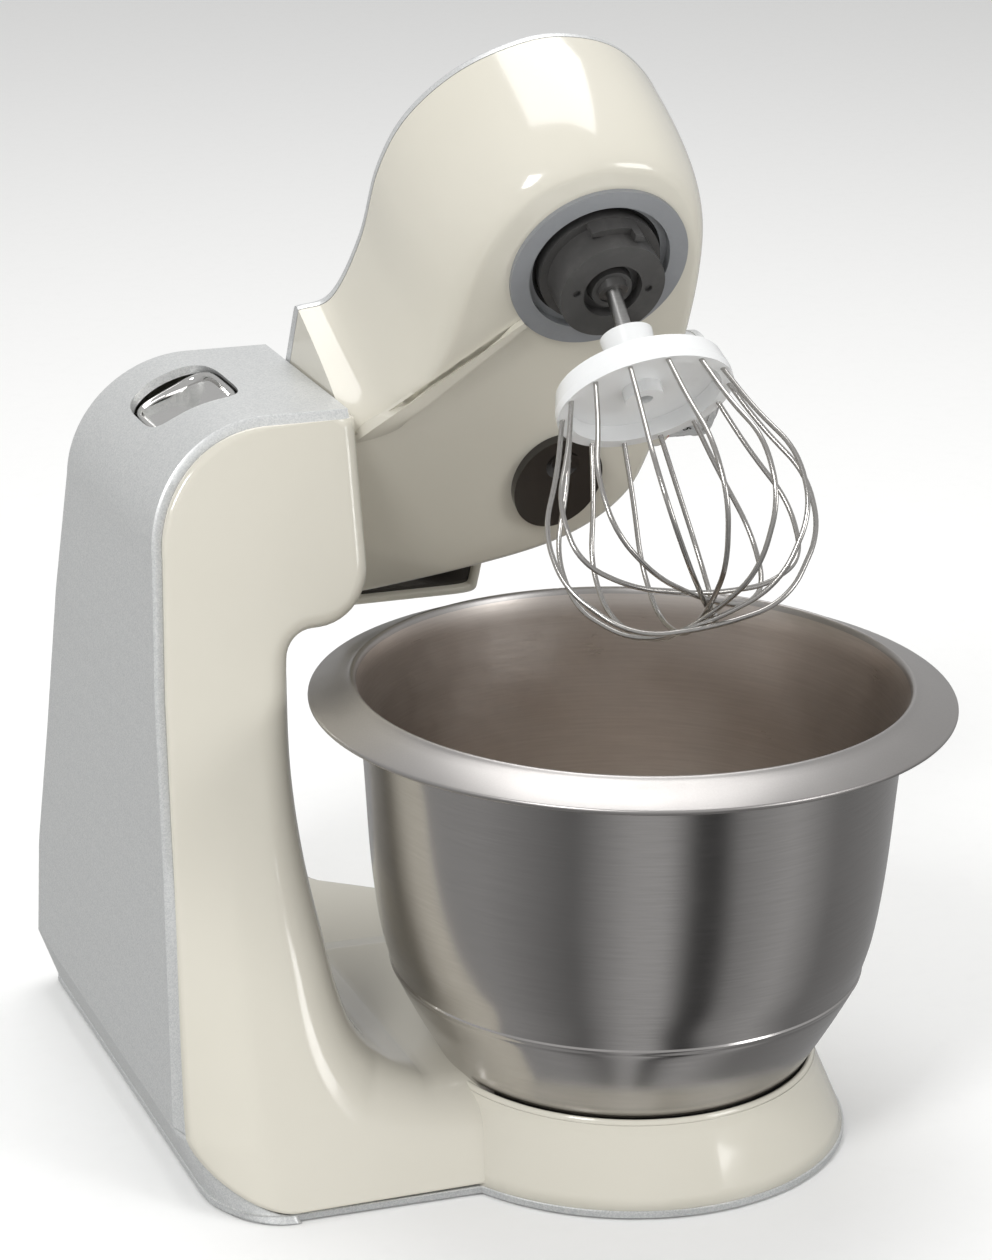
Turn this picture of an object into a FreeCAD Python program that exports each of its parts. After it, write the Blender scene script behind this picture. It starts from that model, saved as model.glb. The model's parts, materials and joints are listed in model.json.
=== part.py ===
"""Compact stand mixer with a roll-up arm, a planetary whisk drive and a steel bowl.

Frame: origin where the bowl's axis meets the worktop, +X from the tower towards
the bowl, -Y towards the user, +Z up. The arm is drawn lowered and then raised
about its hinge, which runs along X through the tower's head.
"""
import FreeCAD, Part
import math
import os

Vec = FreeCAD.Vector

# Driving dimensions, millimetres and degrees
RAISE = 65.5            # how far the arm stands above its working position
HINGE_Y = 112.0
HINGE_Z = 220.5
WALL = 3.0

FOOT_H = 1.0            # the feet stand this far below the base plate
BASE_TOP = 30.0
STAND_R_LOW = 81.0
STAND_R_TOP = 69.5
STAND_H = 32.5
SEAT_R = 67.8
SEAT_FLOOR = 22.5

TOWER_BACK = -171.0     # widest point of the back, at the tub joint
TUB_H = 24.0
SHOULDER_X = -115.0     # centre of the round shoulder
SHOULDER_Z = 214.5
SHOULDER_R = 45.0
HEAD_FRONT = -84.0
HEAD_UNDER = 188.0
COLUMN_FRONT = -116.5
SPLIT_Y = 113.0         # where the two casing halves meet
INLET_X = -100.0        # mains cord, through the far side
INLET_Z = 13.0

NEAR_TOP_Y = 65.0
NEAR_LOW_Y = -2.0
FAR_TOP_Y = 161.0
FAR_LOW_Y = 193.0
BAND_TOP_Z = 259.5

RIM_R = 99.2
RIM_Z = 171.8
FLANGE_R = 114.5
FLANGE_Z = 165.2
BOWL_WALL = 1.2

ARM_ROOT_X = -83.2
ARM_UNDER = 193.0
ARM_EDGE = 256.0        # joint between lower housing and top cover
ARM_TOP = 262.0

DRIVE_RING_R = 33.0
CARRIER_R = 19.4
CARRIER_FACE = 178.0
TOOL_TILT = 21.0
SHAFT_R = 2.85
SOCKET_MOUTH = 177.5
RING_TEETH = 30
PINION_TEETH = 15

MOTOR_X = -38.0
MOTOR_Y = 112.0
SLICER_X = 2.0
SLICER_Y = 98.0
FRAME_Z = 227.0
BELT_ONE_Z = 236.0
BELT_TWO_Z = 244.0

KNOB_Y = 86.0
KNOB_Z = 225.0
KNOB_ROOT = 50.0
KNOB_R = 19.6

BUTTON_SLOPE = 23.4
BUTTON_AT = Vec(-128.0, 117.0, 250.6)

TINY = 0.05


# Basic shapes
def cyl(x, y, z0, z1, r):
    return Part.makeCylinder(r, z1 - z0, Vec(x, y, z0))


def ring(x, y, z0, z1, r_out, r_in):
    return cyl(x, y, z0, z1, r_out).cut(cyl(x, y, z0 - 1, z1 + 1, r_in))


def cone(z0, z1, r0, r1):
    return Part.makeCone(r0, r1, z1 - z0, Vec(0, 0, z0))


def cyl_x(x0, x1, y, z, r):
    return Part.makeCylinder(r, x1 - x0, Vec(x0, y, z), Vec(1, 0, 0))


def ring_y(x, y0, y1, z, r_out, r_in):
    outer = Part.makeCylinder(r_out, y1 - y0, Vec(x, y0, z), Vec(0, 1, 0))
    return outer.cut(Part.makeCylinder(r_in, y1 - y0, Vec(x, y0, z), Vec(0, 1, 0)))


def ring_x(x0, x1, y, z, r_out, r_in):
    return cyl_x(x0, x1, y, z, r_out).cut(cyl_x(x0 - 1, x1 + 1, y, z, r_in))


def block(x0, x1, y0, y1, z0, z1):
    return Part.makeBox(x1 - x0, y1 - y0, z1 - z0, Vec(x0, y0, z0))


def closed_face(edges):
    return Part.Face(Part.Wire(Part.__sortEdges__(edges)))


def polygon_face(points):
    return Part.Face(Part.makePolygon(points + [points[0]]))


def lines(points):
    return [Part.LineSegment(a, b).toShape() for a, b in zip(points, points[1:])]


def spline(points):
    curve = Part.BSplineCurve()
    curve.interpolate(points)
    return curve.toShape()


def closed_spline(points):
    curve = Part.BSplineCurve()
    curve.interpolate(points, PeriodicFlag=True)
    return Part.Wire(curve.toShape())


def one_solid(shape):
    """The shape as one clean solid."""
    clean = shape.removeSplitter()
    solids = sorted(clean.Solids, key=lambda s: s.Volume)
    return solids[-1]


# Placement of moving groups
def raised(shape):
    """An arm shape, from the lowered drawing position to the raised one."""
    out = shape.copy()
    out.rotate(Vec(0, HINGE_Y, HINGE_Z), Vec(1, 0, 0), -RAISE)
    return out


def on_tool_axis(shape):
    """A shape drawn about Z through the carrier's face, tilted onto the tool axis."""
    out = shape.copy()
    out.rotate(Vec(0, 0, CARRIER_FACE), Vec(1, 0, 0), TOOL_TILT)
    return out


# Tower
def near_side_y(z):
    return NEAR_LOW_Y + (NEAR_TOP_Y - NEAR_LOW_Y) * (z - TUB_H) / (BAND_TOP_Z - TUB_H)


def far_side_y(z):
    return FAR_LOW_Y + (FAR_TOP_Y - FAR_LOW_Y) * (z - TUB_H) / (BAND_TOP_Z - TUB_H)


def shoulder_point(radius, angle):
    a = math.radians(angle)
    return Vec(SHOULDER_X - radius * math.cos(a), 0, SHOULDER_Z + radius * math.sin(a))


def back_edges(inset, z_low):
    """Back, shoulder and top of the tower's side view, from the bottom to the front."""
    radius = SHOULDER_R - inset
    low = Vec(TOWER_BACK + inset + 9.0 * (TUB_H - z_low) / TUB_H, 0, z_low)
    joint = Vec(TOWER_BACK + inset, 0, TUB_H)
    arc = Part.Arc(shoulder_point(radius, 0), shoulder_point(radius, 45), shoulder_point(radius, 90))
    front = Vec(HEAD_FRONT - inset, 0, BAND_TOP_Z - inset)
    back = lines([low, joint, shoulder_point(radius, 0)])
    return back + [arc.toShape()] + lines([shoulder_point(radius, 90), front])


def tower_side_view(inset, z_low):
    """C-shaped side view: back, shoulder, head, neck and the sweep into the base."""
    under = HEAD_UNDER + inset
    front = HEAD_FRONT - inset
    column = COLUMN_FRONT - inset
    nose = Part.Arc(Vec(front, 0, under + 18), Vec(front - 5.3, 0, under + 5.3), Vec(front - 18, 0, under))
    sweep = Part.Arc(Vec(column + 7, 0, 64), Vec(column + 15, 0, 43), Vec(column + 34, 0, 32 - inset))
    right = Vec(column + 34, 0, z_low)
    low = Vec(TOWER_BACK + inset + 9.0 * (TUB_H - z_low) / TUB_H, 0, z_low)
    edges = back_edges(inset, z_low)
    edges += lines([Vec(front, 0, BAND_TOP_Z - inset), Vec(front, 0, under + 18)])
    edges.append(nose.toShape())
    edges += lines([Vec(front - 18, 0, under), Vec(column + 2, 0, under), Vec(column, 0, under - 8)])
    edges += lines([Vec(column, 0, under - 8), Vec(column - 0.5, 0, 130), Vec(column + 7, 0, 64)])
    edges.append(sweep.toShape())
    edges += lines([Vec(column + 34, 0, 32 - inset), right, low])
    return closed_face(edges)


def tower_end_view(inset, z_low):
    """End view: a leaning near side that flares into the base, and the far side."""
    top = 300.0
    near = [Vec(0, -40.5 + inset, z_low), Vec(0, -40.5 + inset, 10)]
    flare_points = [(-39.0, 17), (-31, 23), (-13, 29 - inset / 2), (0, 37), (7, 50), (11.5, 70)]
    flare = [near[1]] + [Vec(0, y + inset, z) for y, z in flare_points]
    edges = lines(near) + [spline(flare)]
    edges += lines([flare[-1], Vec(0, near_side_y(top) + inset, top), Vec(0, far_side_y(top) - inset, top),
                    Vec(0, far_side_y(z_low) - inset, z_low), near[0]])
    return closed_face(edges)


def tower_plan(inset, z_low):
    """Plan limit that rounds the two rear corners."""
    r = 22.0 - inset
    x0, y0, y1 = -175.0 + inset, -40.5 + inset, 197.0 - inset
    x_arc = -162.0 + inset
    bulge = 0.29 * r
    start = Vec(x_arc + r, y0, z_low)
    end = Vec(x_arc, y0 + r, z_low)
    near = Part.Arc(start, Vec(x_arc + bulge, y0 + bulge, z_low), end)
    round_the_rest = [end, Vec(x0, y0 + r + 26, z_low), Vec(x0, y1 - r, z_low), Vec(x_arc + 8, y1, z_low)]
    round_the_rest += [Vec(20, y1, z_low), Vec(20, y0, z_low), start]
    return closed_face([near.toShape()] + lines(round_the_rest)).extrude(Vec(0, 0, 300))


def tower_solid(inset, z_low):
    side = tower_side_view(inset, z_low).extrude(Vec(0, 400, 0))
    side.translate(Vec(0, -100, 0))
    end = tower_end_view(inset, z_low).extrude(Vec(300, 0, 0))
    end.translate(Vec(-260, 0, 0))
    return side.common(end).common(tower_plan(inset, z_low))


# Base and bowl stand
BASE_OUTLINE = [
    (-138, -40.5), (-30, -40.5), (20, -38), (52, -8), (58, 34), (48, 74), (20, 116), (-20, 153),
    (-60, 180), (-100, 193.5), (-145, 193), (-161, 176), (-162.5, 120), (-162.5, 40), (-160, -22),
]
BASE_CENTRE = (-55.0, 70.0)
BASE_HALF = (110.0, 115.0)


def base_wire(z, inset):
    cx, cy = BASE_CENTRE
    sx, sy = 1 - inset / BASE_HALF[0], 1 - inset / BASE_HALF[1]
    points = [Vec(cx + (x - cx) * sx, cy + (y - cy) * sy, z) for x, y in BASE_OUTLINE]
    straight = Part.LineSegment(points[0], points[1]).toShape()
    return Part.Wire([straight, spline(points[1:] + [points[0]])])


def base_solid(inset, z_low):
    top = BASE_TOP - inset
    sections = [base_wire(z_low, inset), base_wire(12, inset), base_wire(20, inset + 2)]
    sections += [base_wire(26 - inset / 2, inset + 8), base_wire(top, inset + 22)]
    return Part.makeLoft(sections, True, True)


def stand_solid(inset, z_low):
    low = cone(z_low, 28.5, STAND_R_LOW - inset, STAND_R_TOP - inset)
    return low.fuse(cone(28.5, STAND_H, STAND_R_TOP - inset, 68.3 - inset))


def body_outer():
    return tower_solid(0, FOOT_H + 2.5).fuse([base_solid(0, FOOT_H + 2.5), stand_solid(0, FOOT_H + 2.5)])


def body_inner():
    seat_roof = block(-200, 200, -200, 200, SEAT_FLOOR - WALL, 300)
    under_seat = stand_solid(WALL, FOOT_H).cut(seat_roof)
    base = base_solid(WALL, FOOT_H).cut(cyl(0, 0, SEAT_FLOOR - WALL, 60, SEAT_R + WALL))
    return tower_solid(WALL, FOOT_H).fuse([base, under_seat])


def band_region():
    """The skin of the back, shoulder and top between the two side panels."""
    outer = back_edges(-0.5, 0.0)[1:]
    inner = back_edges(WALL, 0.0)[1:]
    a, b = Vec(TOWER_BACK - 0.5, 0, TUB_H), Vec(TOWER_BACK + WALL, 0, TUB_H)
    c, d = Vec(HEAD_FRONT + 0.5, 0, BAND_TOP_Z + 0.5), Vec(HEAD_FRONT - WALL, 0, BAND_TOP_Z - WALL)
    skin = closed_face(outer + inner + lines([a, b]) + lines([c, d])).extrude(Vec(0, 400, 0))
    skin.translate(Vec(0, -100, 0))
    edge = 0.6
    wedge_points = [Vec(-200, near_side_y(z) + edge, z) for z in (TUB_H, 300)]
    wedge_points += [Vec(-200, far_side_y(z) - edge, z) for z in (300, TUB_H)]
    wedge = polygon_face(wedge_points).extrude(Vec(200, 0, 0))
    return skin.common(wedge)


def in_button_frame(shape):
    """A shape drawn at the origin, +X up the slope, moved to the button's seat."""
    out = shape.copy()
    out.rotate(Vec(0, 0, 0), Vec(0, 1, 0), -BUTTON_SLOPE)
    out.translate(BUTTON_AT)
    return out


def build_body():
    outer = body_outer()
    shell = outer.cut(body_inner())
    shell = shell.cut(cyl(0, 0, SEAT_FLOOR, 60, SEAT_R))
    shell = shell.cut(cyl_x(HEAD_FRONT - 6, HEAD_FRONT + 6, HINGE_Y, HINGE_Z, 13.0))
    band = shell.common(band_region())
    pocket = in_button_frame(block(-19, 19, -23.5, 23.5, -12, 12))
    tub_box = block(-180, -150, -60, 230, 0, TUB_H)
    tub = shell.common(tub_box).cut(block(-180, -100, -60, near_side_y(10) + 2, 0, TUB_H))
    casing = shell.cut(band_region()).cut(tub)
    near = one_solid(casing.common(block(-300, 200, -200, SPLIT_Y, -10, 400)))
    far = one_solid(casing.common(block(-300, 200, SPLIT_Y, 400, -10, 400)))
    notch = [block(-180, -160, y, y + 3, TUB_H - 2, TUB_H + 1) for y in (75.5, 142.5)]
    far = far.cut(Part.makeCylinder(6.5, 80, Vec(INLET_X, 150, INLET_Z), Vec(0, 1, 0)))
    return {
        "casing_near": near,
        "casing_far": far,
        "tower_band": one_solid(band.cut(pocket)),
        "lower_tub": one_solid(tub.cut(notch[0]).cut(notch[1])),
    }


FEET = ((0, 0), (-52, -24), (-140, -18), (-140, 168), (-46, 128))
SCREWS = ((-20, -60), (55, 0), (-20, 60), (-150, 60), (-150, 130), (-90, -20), (-90, 150), (-120, 100))
FOOT_R = 15.0
STEM_R = 9.0
SCREW_R = 2.0


def build_base():
    outline = tower_solid(0, FOOT_H).fuse([base_solid(0, FOOT_H), stand_solid(0, FOOT_H)])
    plate = one_solid(outline.common(block(-300, 300, -300, 300, FOOT_H, FOOT_H + 2.5)))
    feet = []
    screws = []
    for x, y in FEET:
        plate = plate.cut(cyl(x, y, 0, 9, STEM_R))
        cup = cyl(x, y, 0, FOOT_H, FOOT_R).fuse(cyl(x, y, FOOT_H, FOOT_H + 4.5, STEM_R))
        feet.append(cup)
    for x, y in SCREWS:
        plate = plate.cut(cyl(x, y, 0, 9, SCREW_R))
        screws.append(cyl(x, y, FOOT_H + 0.4, FOOT_H + 10, SCREW_R))
    lugs = [block(-65.5, -59.5, -6, 6, SEAT_FLOOR, SEAT_FLOOR + 2)]
    for turn in (120, 240):
        lug = lugs[0].copy()
        lug.rotate(Vec(0, 0, 0), Vec(0, 0, 1), turn)
        lugs.append(lug)
    coupling = ring(0, 0, SEAT_FLOOR, SEAT_FLOOR + 5.5, SEAT_R - TINY, 64.8).fuse(lugs)
    return {
        "base_plate": one_solid(plate),
        "suction_feet": Part.makeCompound(feet),
        "base_screws": Part.makeCompound(screws),
        "bowl_coupling": one_solid(coupling),
        "control_board": block(-152, -150, 60, 150, 70, 140),
        "mains_filter": block(-149.5, -130, 80, 110, 90, 120).fuse(block(-149.5, -135, 120, 140, 80, 100)),
        "cord_inlet": ring_y(INLET_X, 182.0, 194.5, INLET_Z, 6.5, 4.0),
    }


# Tower internals and release button
SPRING_COILS = 5
SPRING_PITCH = 4.2
BUTTON_HALF_X = 16.0
BUTTON_HALF_Y = 20.0


def build_tower_frame():
    rear_plate = block(-140, -132, 92, 136, 195.5, 234)
    front_plate = block(-100, -92, 92, 136, 197, 242)
    frame = rear_plate.fuse([front_plate, block(-140, -94, 92, 136, 195.5, 198)])
    frame = frame.cut(cyl_x(-160, -80, HINGE_Y, HINGE_Z, 15.0))
    bushes = [ring_x(x, x + 8, HINGE_Y, HINGE_Z, 15.0, 11.05) for x in (-140, -100)]
    starts = [-130 + SPRING_PITCH * k for k in range(SPRING_COILS)]
    spring = ring_x(starts[0], starts[0] + 3.4, HINGE_Y, HINGE_Z, 17.5, 13.8)
    for x in starts[1:]:
        coil = ring_x(x, x + 3.4, HINGE_Y, HINGE_Z, 17.5, 13.8)
        step = block(x - 2.2, x + 1.8, HINGE_Y - 2, HINGE_Y + 2, HINGE_Z - 17.4, HINGE_Z - 14)
        spring = spring.fuse([coil, step])
    seat = block(-18.8, 18.8, -23.3, 23.3, -3.0, 0.8)
    seat_hole = block(-BUTTON_HALF_X - 0.2, BUTTON_HALF_X + 0.2, -BUTTON_HALF_Y - 0.2, BUTTON_HALF_Y + 0.2, -4, 4)
    button = block(-BUTTON_HALF_X, BUTTON_HALF_X, -BUTTON_HALF_Y, BUTTON_HALF_Y, -4.5, 1.2)
    button = button.cut(cyl(0, 0, -5, -3.5, 3.4))
    button_spring = ring(0, 0, -8.6, -3.5, 3.2, 2.4)
    return {
        "tower_frame": one_solid(frame),
        "hinge_bushes": Part.makeCompound(bushes),
        "arm_spring": one_solid(spring),
        "button_frame": in_button_frame(seat.cut(seat_hole)),
        "release_button": in_button_frame(button),
        "button_spring": in_button_frame(button_spring),
        "latch_bolt": block(-108.5, -103.5, 108, 116, 242.9, 251),
    }


# Arm outlines, lowered position
ARM_PLAN_TOP = [
    (-100, 62), (-84, 61.5), (-71, 56.5), (-63.8, 31), (-61.6, 0), (-54, -22.5), (-37, -41), (-13.7, -51.8),
    (5, -52.2), (22, -46), (37, -32), (46, -15), (49.5, 8), (50, 34), (49.5, 62), (47.5, 92), (39.5, 119),
    (19, 139.5), (-22, 150), (-84, 158), (-100, 159),
]
ARM_PLAN_LOW = [
    (-100, 72), (-84, 71), (-63, 63), (-50, 36), (-45, 4), (-40, -15), (-29, -31), (-11, -39),
    (5, -39), (18, -35), (29, -23), (35, -8), (38, 10), (39, 30), (38.5, 56), (36.5, 86), (30, 110),
    (9, 127), (-27, 137.5), (-84, 147), (-100, 148),
]
WELL_LIP = 201.0        # lowest edge of the black well at the arm's root
WELL_ROOF = 215.0
ARM_SECTIONS = ((0.0, 0.0), (0.08, 0.42), (0.22, 0.66), (0.5, 0.86), (0.78, 0.965), (1.0, 1.0))


def arm_wire(height, spread, inset):
    """Arm outline at a height: spread 0 is the underside's edge, 1 is the top cover's."""
    points = []
    for (xt, yt), (xl, yl) in zip(ARM_PLAN_TOP, ARM_PLAN_LOW):
        x, y = xl + (xt - xl) * spread, yl + (yt - yl) * spread
        dx, dy = x + 10.0, y - 55.0
        length = math.hypot(dx, dy)
        points.append(Vec(x - inset * dx / length, y - inset * dy / length, height))
    return closed_spline(points)


def arm_loft(inset, z0, z1):
    wires = [arm_wire(z0 + (z1 - z0) * t, s, inset) for t, s in ARM_SECTIONS]
    return Part.makeLoft(wires, True, False)


def arm_cover_loft(inset, z0, rise):
    wires = [arm_wire(z0, 1.0, inset)]
    wires.append(arm_wire(z0 + rise * 0.6, 1.0, inset + 1.2))
    wires.append(arm_wire(z0 + rise, 1.0, inset + 7.0))
    return Part.makeLoft(wires, True, True)


def root_trim(shape, x_root):
    return shape.cut(block(-200, x_root, -200, 300, 100, 400))


def build_arm_shells():
    lower = root_trim(arm_loft(0, ARM_UNDER, ARM_EDGE), ARM_ROOT_X)
    lower = lower.fuse(block(-76.5, -15.5, 143, 160.5, WELL_LIP, 236))
    hollow = root_trim(arm_loft(WALL + 0.6, ARM_UNDER + WALL, ARM_EDGE + TINY), ARM_ROOT_X + WALL)
    lower = lower.cut(hollow)
    lower = lower.cut(cyl(0, 0, 180, 205, DRIVE_RING_R + TINY))
    lower = lower.cut(cyl(SLICER_X, SLICER_Y, 180, 205, 9.0))
    lower = lower.cut(cyl_x(ARM_ROOT_X - 5, ARM_ROOT_X + 5, HINGE_Y, HINGE_Z, 11.0 + TINY))
    lower = lower.cut(cyl_x(KNOB_ROOT - 10, 100, KNOB_Y, KNOB_Z, 22.5 + TINY))
    pocket = ring_x(KNOB_ROOT - 10, KNOB_ROOT, KNOB_Y, KNOB_Z, 22.5, 4.0)
    cover = root_trim(arm_cover_loft(0, ARM_EDGE, ARM_TOP - ARM_EDGE), ARM_ROOT_X)
    cover_hollow = arm_cover_loft(WALL, ARM_EDGE - TINY, ARM_TOP - ARM_EDGE - WALL)
    cover_hollow = root_trim(cover_hollow, ARM_ROOT_X + WALL)
    cover = cover.cut(cover_hollow).cut(cyl(MOTOR_X, MOTOR_Y, 250, 270, 27.0))
    window = block(-73, -19, 145.5, 157.0, 190, WELL_ROOF)
    lower = lower.cut(window)
    well = block(-73, -19, 145.5, 157.0, WELL_LIP + 3, WELL_ROOF)
    well = well.cut(block(-71, -21, 147, 155.5, WELL_LIP, WELL_ROOF - 2))
    return {
        "arm_lower_housing": one_solid(lower),
        "knob_pocket": one_solid(pocket),
        "arm_top_cover": one_solid(cover),
        "arm_well": one_solid(well),
    }


# Arm internals
FRAME_PLAN = ((-24, -20), (24, -20), (27, 60), (22, 122), (-72, 140), (-72, 84), (-36, 60))
FRAME_POSTS = ((-28, 62), (26, 62), (18, 107), (-4, 60))


def build_arm_frame():
    hull = polygon_face([Vec(x, y, FRAME_Z) for x, y in FRAME_PLAN])
    frame = hull.extrude(Vec(0, 0, 4.0))
    frame = frame.fuse([cyl(0, 0, FRAME_Z, 243, 13.5), cyl(SLICER_X, SLICER_Y, FRAME_Z, 235, 10.0)])
    frame = frame.fuse([cyl(x, y, ARM_UNDER + WALL, FRAME_Z, 3.5) for x, y in FRAME_POSTS])
    frame = frame.fuse(block(-77, -72, 84, 140, 200, FRAME_Z + 4))
    frame = frame.cut(cyl(0, 0, 220, 250, 11.0)).cut(cyl(SLICER_X, SLICER_Y, 220, 250, 8.0))
    frame = frame.cut(cyl(MOTOR_X, MOTOR_Y, 220, 250, 8.0)).cut(cyl_x(-90, -60, HINGE_Y, HINGE_Z, 11.0))
    hinge = ring_x(-142, -72.5, HINGE_Y, HINGE_Z, 11.0, 7.0)
    index = ring_x(-108, -104, HINGE_Y, HINGE_Z, 22.0, 11.0)
    for angle in (0, RAISE):
        a = math.radians(angle)
        index = index.cut(cyl_x(-110, -100, HINGE_Y + 23 * math.sin(a), HINGE_Z + 23 * math.cos(a), 3.5))
    bearings = [ring(0, 0, 227.5, 233.5, 11.0, 6.05), ring(0, 0, 236.5, 242.5, 11.0, 6.05)]
    slicer_bearing = ring(SLICER_X, SLICER_Y, 227.5, 234.5, 8.0, 4.05)
    return {
        "arm_gear_frame": one_solid(frame),
        "hinge_tube": hinge,
        "index_disc": one_solid(index),
        "spindle_bearings": Part.makeCompound(bearings),
        "slicer_bearing": slicer_bearing,
    }


def open_belt(x0, y0, r0, x1, y1, r1, z0, thickness, width):
    """A flat belt round two pulleys, as the band between two stadium outlines."""
    def outline(extra):
        d = math.hypot(x1 - x0, y1 - y0)
        along = math.atan2(y1 - y0, x1 - x0)
        lean = math.acos((r0 - r1) / d)
        ra, rb = r0 + extra, r1 + extra
        def at(cx, cy, r, a):
            return Vec(cx + r * math.cos(a), cy + r * math.sin(a), z0)
        a0, a1 = at(x0, y0, ra, along + lean), at(x0, y0, ra, along - lean)
        b0, b1 = at(x1, y1, rb, along + lean), at(x1, y1, rb, along - lean)
        back = Part.Arc(a0, at(x0, y0, ra, along + math.pi), a1).toShape()
        front = Part.Arc(b0, at(x1, y1, rb, along), b1).toShape()
        return closed_face([back, front] + lines([a0, b0]) + lines([a1, b1]))
    return outline(0.1 + thickness).cut(outline(0.1)).extrude(Vec(0, 0, width))


def build_motor():
    x, y = MOTOR_X, MOTOR_Y
    stator = ring(x, y, 204, 222, 25.0, 14.6)
    brushes = [block(x + s * 12 - 4, x + s * 12 + 4, y - 2.5, y + 2.5, 199.6, 203.2) for s in (-1, 1)]
    shaft = cyl(x, y, 197.2, 255, 3.0)
    core = ring(x, y, 204.5, 221.5, 13.8, 3.0)
    for k in range(12):
        a = 2 * math.pi * k / 12
        core = core.cut(cyl(x + 12.9 * math.cos(a), y + 12.9 * math.sin(a), 200, 230, 1.3))
    fan = ring(x, y, 223, 224, 16.0, 3.0)
    for k in range(11):
        blade = block(6, 15.5, -0.5, 0.5, 224, 226.3)
        blade.rotate(Vec(6, 0, 0), Vec(0, 0, 1), 30)
        blade.rotate(Vec(0, 0, 0), Vec(0, 0, 1), 360.0 * k / 11)
        blade.translate(Vec(x, y, 0))
        fan = fan.fuse(blade)
    bearings = [ring(x, y, 196.6, 199.2, 7.0, 3.05), ring(x, y, 227.5, 232, 8.0, 3.05)]
    pulley = ring(x, y, BELT_ONE_Z, BELT_ONE_Z + 6, 8.0, 3.0)
    pulley = pulley.fuse(ring(x, y, BELT_ONE_Z - 1, BELT_ONE_Z, 10.0, 3.0))
    sx, sy = SLICER_X, SLICER_Y
    spindle = cyl(sx, sy, 197, 250.5, 4.0).fuse(cyl(sx, sy, 193.6, 197, 7.5))
    wheel = ring(sx, sy, BELT_ONE_Z, BELT_ONE_Z + 6, 26.0, 4.0)
    small = ring(sx, sy, BELT_TWO_Z, BELT_TWO_Z + 6, 10.0, 4.0)
    main = ring(0, 0, BELT_TWO_Z, BELT_TWO_Z + 6, 36.0, 6.0)
    for k in range(5):
        a = 2 * math.pi * k / 5
        wheel = wheel.cut(cyl(sx + 15 * math.cos(a), sy + 15 * math.sin(a), 230, 250, 6.0))
        main = main.cut(cyl(21 * math.cos(a), 21 * math.sin(a), 240, 255, 8.5))
    return {
        "motor_stator": stator,
        "motor_brushes": Part.makeCompound(brushes),
        "motor_bearings": Part.makeCompound(bearings),
        "motor_shaft": shaft,
        "rotor_core": one_solid(core),
        "commutator": ring(x, y, 199.6, 203.8, 7.6, 3.0),
        "cooling_fan": one_solid(fan),
        "motor_pulley": one_solid(pulley),
        "primary_belt": open_belt(x, y, 8.0, sx, sy, 26.0, BELT_ONE_Z + 0.5, 1.4, 5.0),
        "slicer_spindle": one_solid(spindle),
        "slicer_pulleys": Part.makeCompound([wheel, small]),
        "secondary_belt": open_belt(0, 0, 36.0, sx, sy, 10.0, BELT_TWO_Z + 0.5, 1.4, 5.0),
        "main_pulley": one_solid(main),
    }


# Planetary drive: two bevel gears whose cones share their tip at the carrier's face
def cone_angles():
    tilt = math.radians(TOOL_TILT)
    ratio = RING_TEETH / PINION_TEETH
    pinion = math.atan2(math.sin(tilt), ratio - math.cos(tilt))
    return pinion, pinion + tilt


def tooth_wire(height, pitch_angle, teeth, share, out, dip, phase):
    """Toothed outline at a height above the cones' shared tip."""
    points = []
    step = 2 * math.pi / teeth
    pitch = height * math.tan(pitch_angle)
    module = 2 * pitch / teeth
    tip, root = pitch + out * module, pitch - dip * module
    for k in range(teeth):
        mid = phase + k * step
        foot, crest = 0.5 * share + 0.13, 0.5 * share - 0.11
        for radius, offset in ((root, -foot), (tip, -crest), (tip, crest), (root, foot)):
            a = mid + offset * step
            points.append(Vec(radius * math.cos(a), radius * math.sin(a), CARRIER_FACE + height))
    return Part.makePolygon(points + [points[0]])


def toothed_cone(heights, pitch_angle, teeth, share, out, dip):
    """Toothed frustum between two heights above the cones' shared tip, first tooth towards -Y."""
    wires = [tooth_wire(h, pitch_angle, teeth, share, out, dip, -math.pi / 2) for h in heights]
    return Part.makeLoft(wires, True, True)


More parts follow.
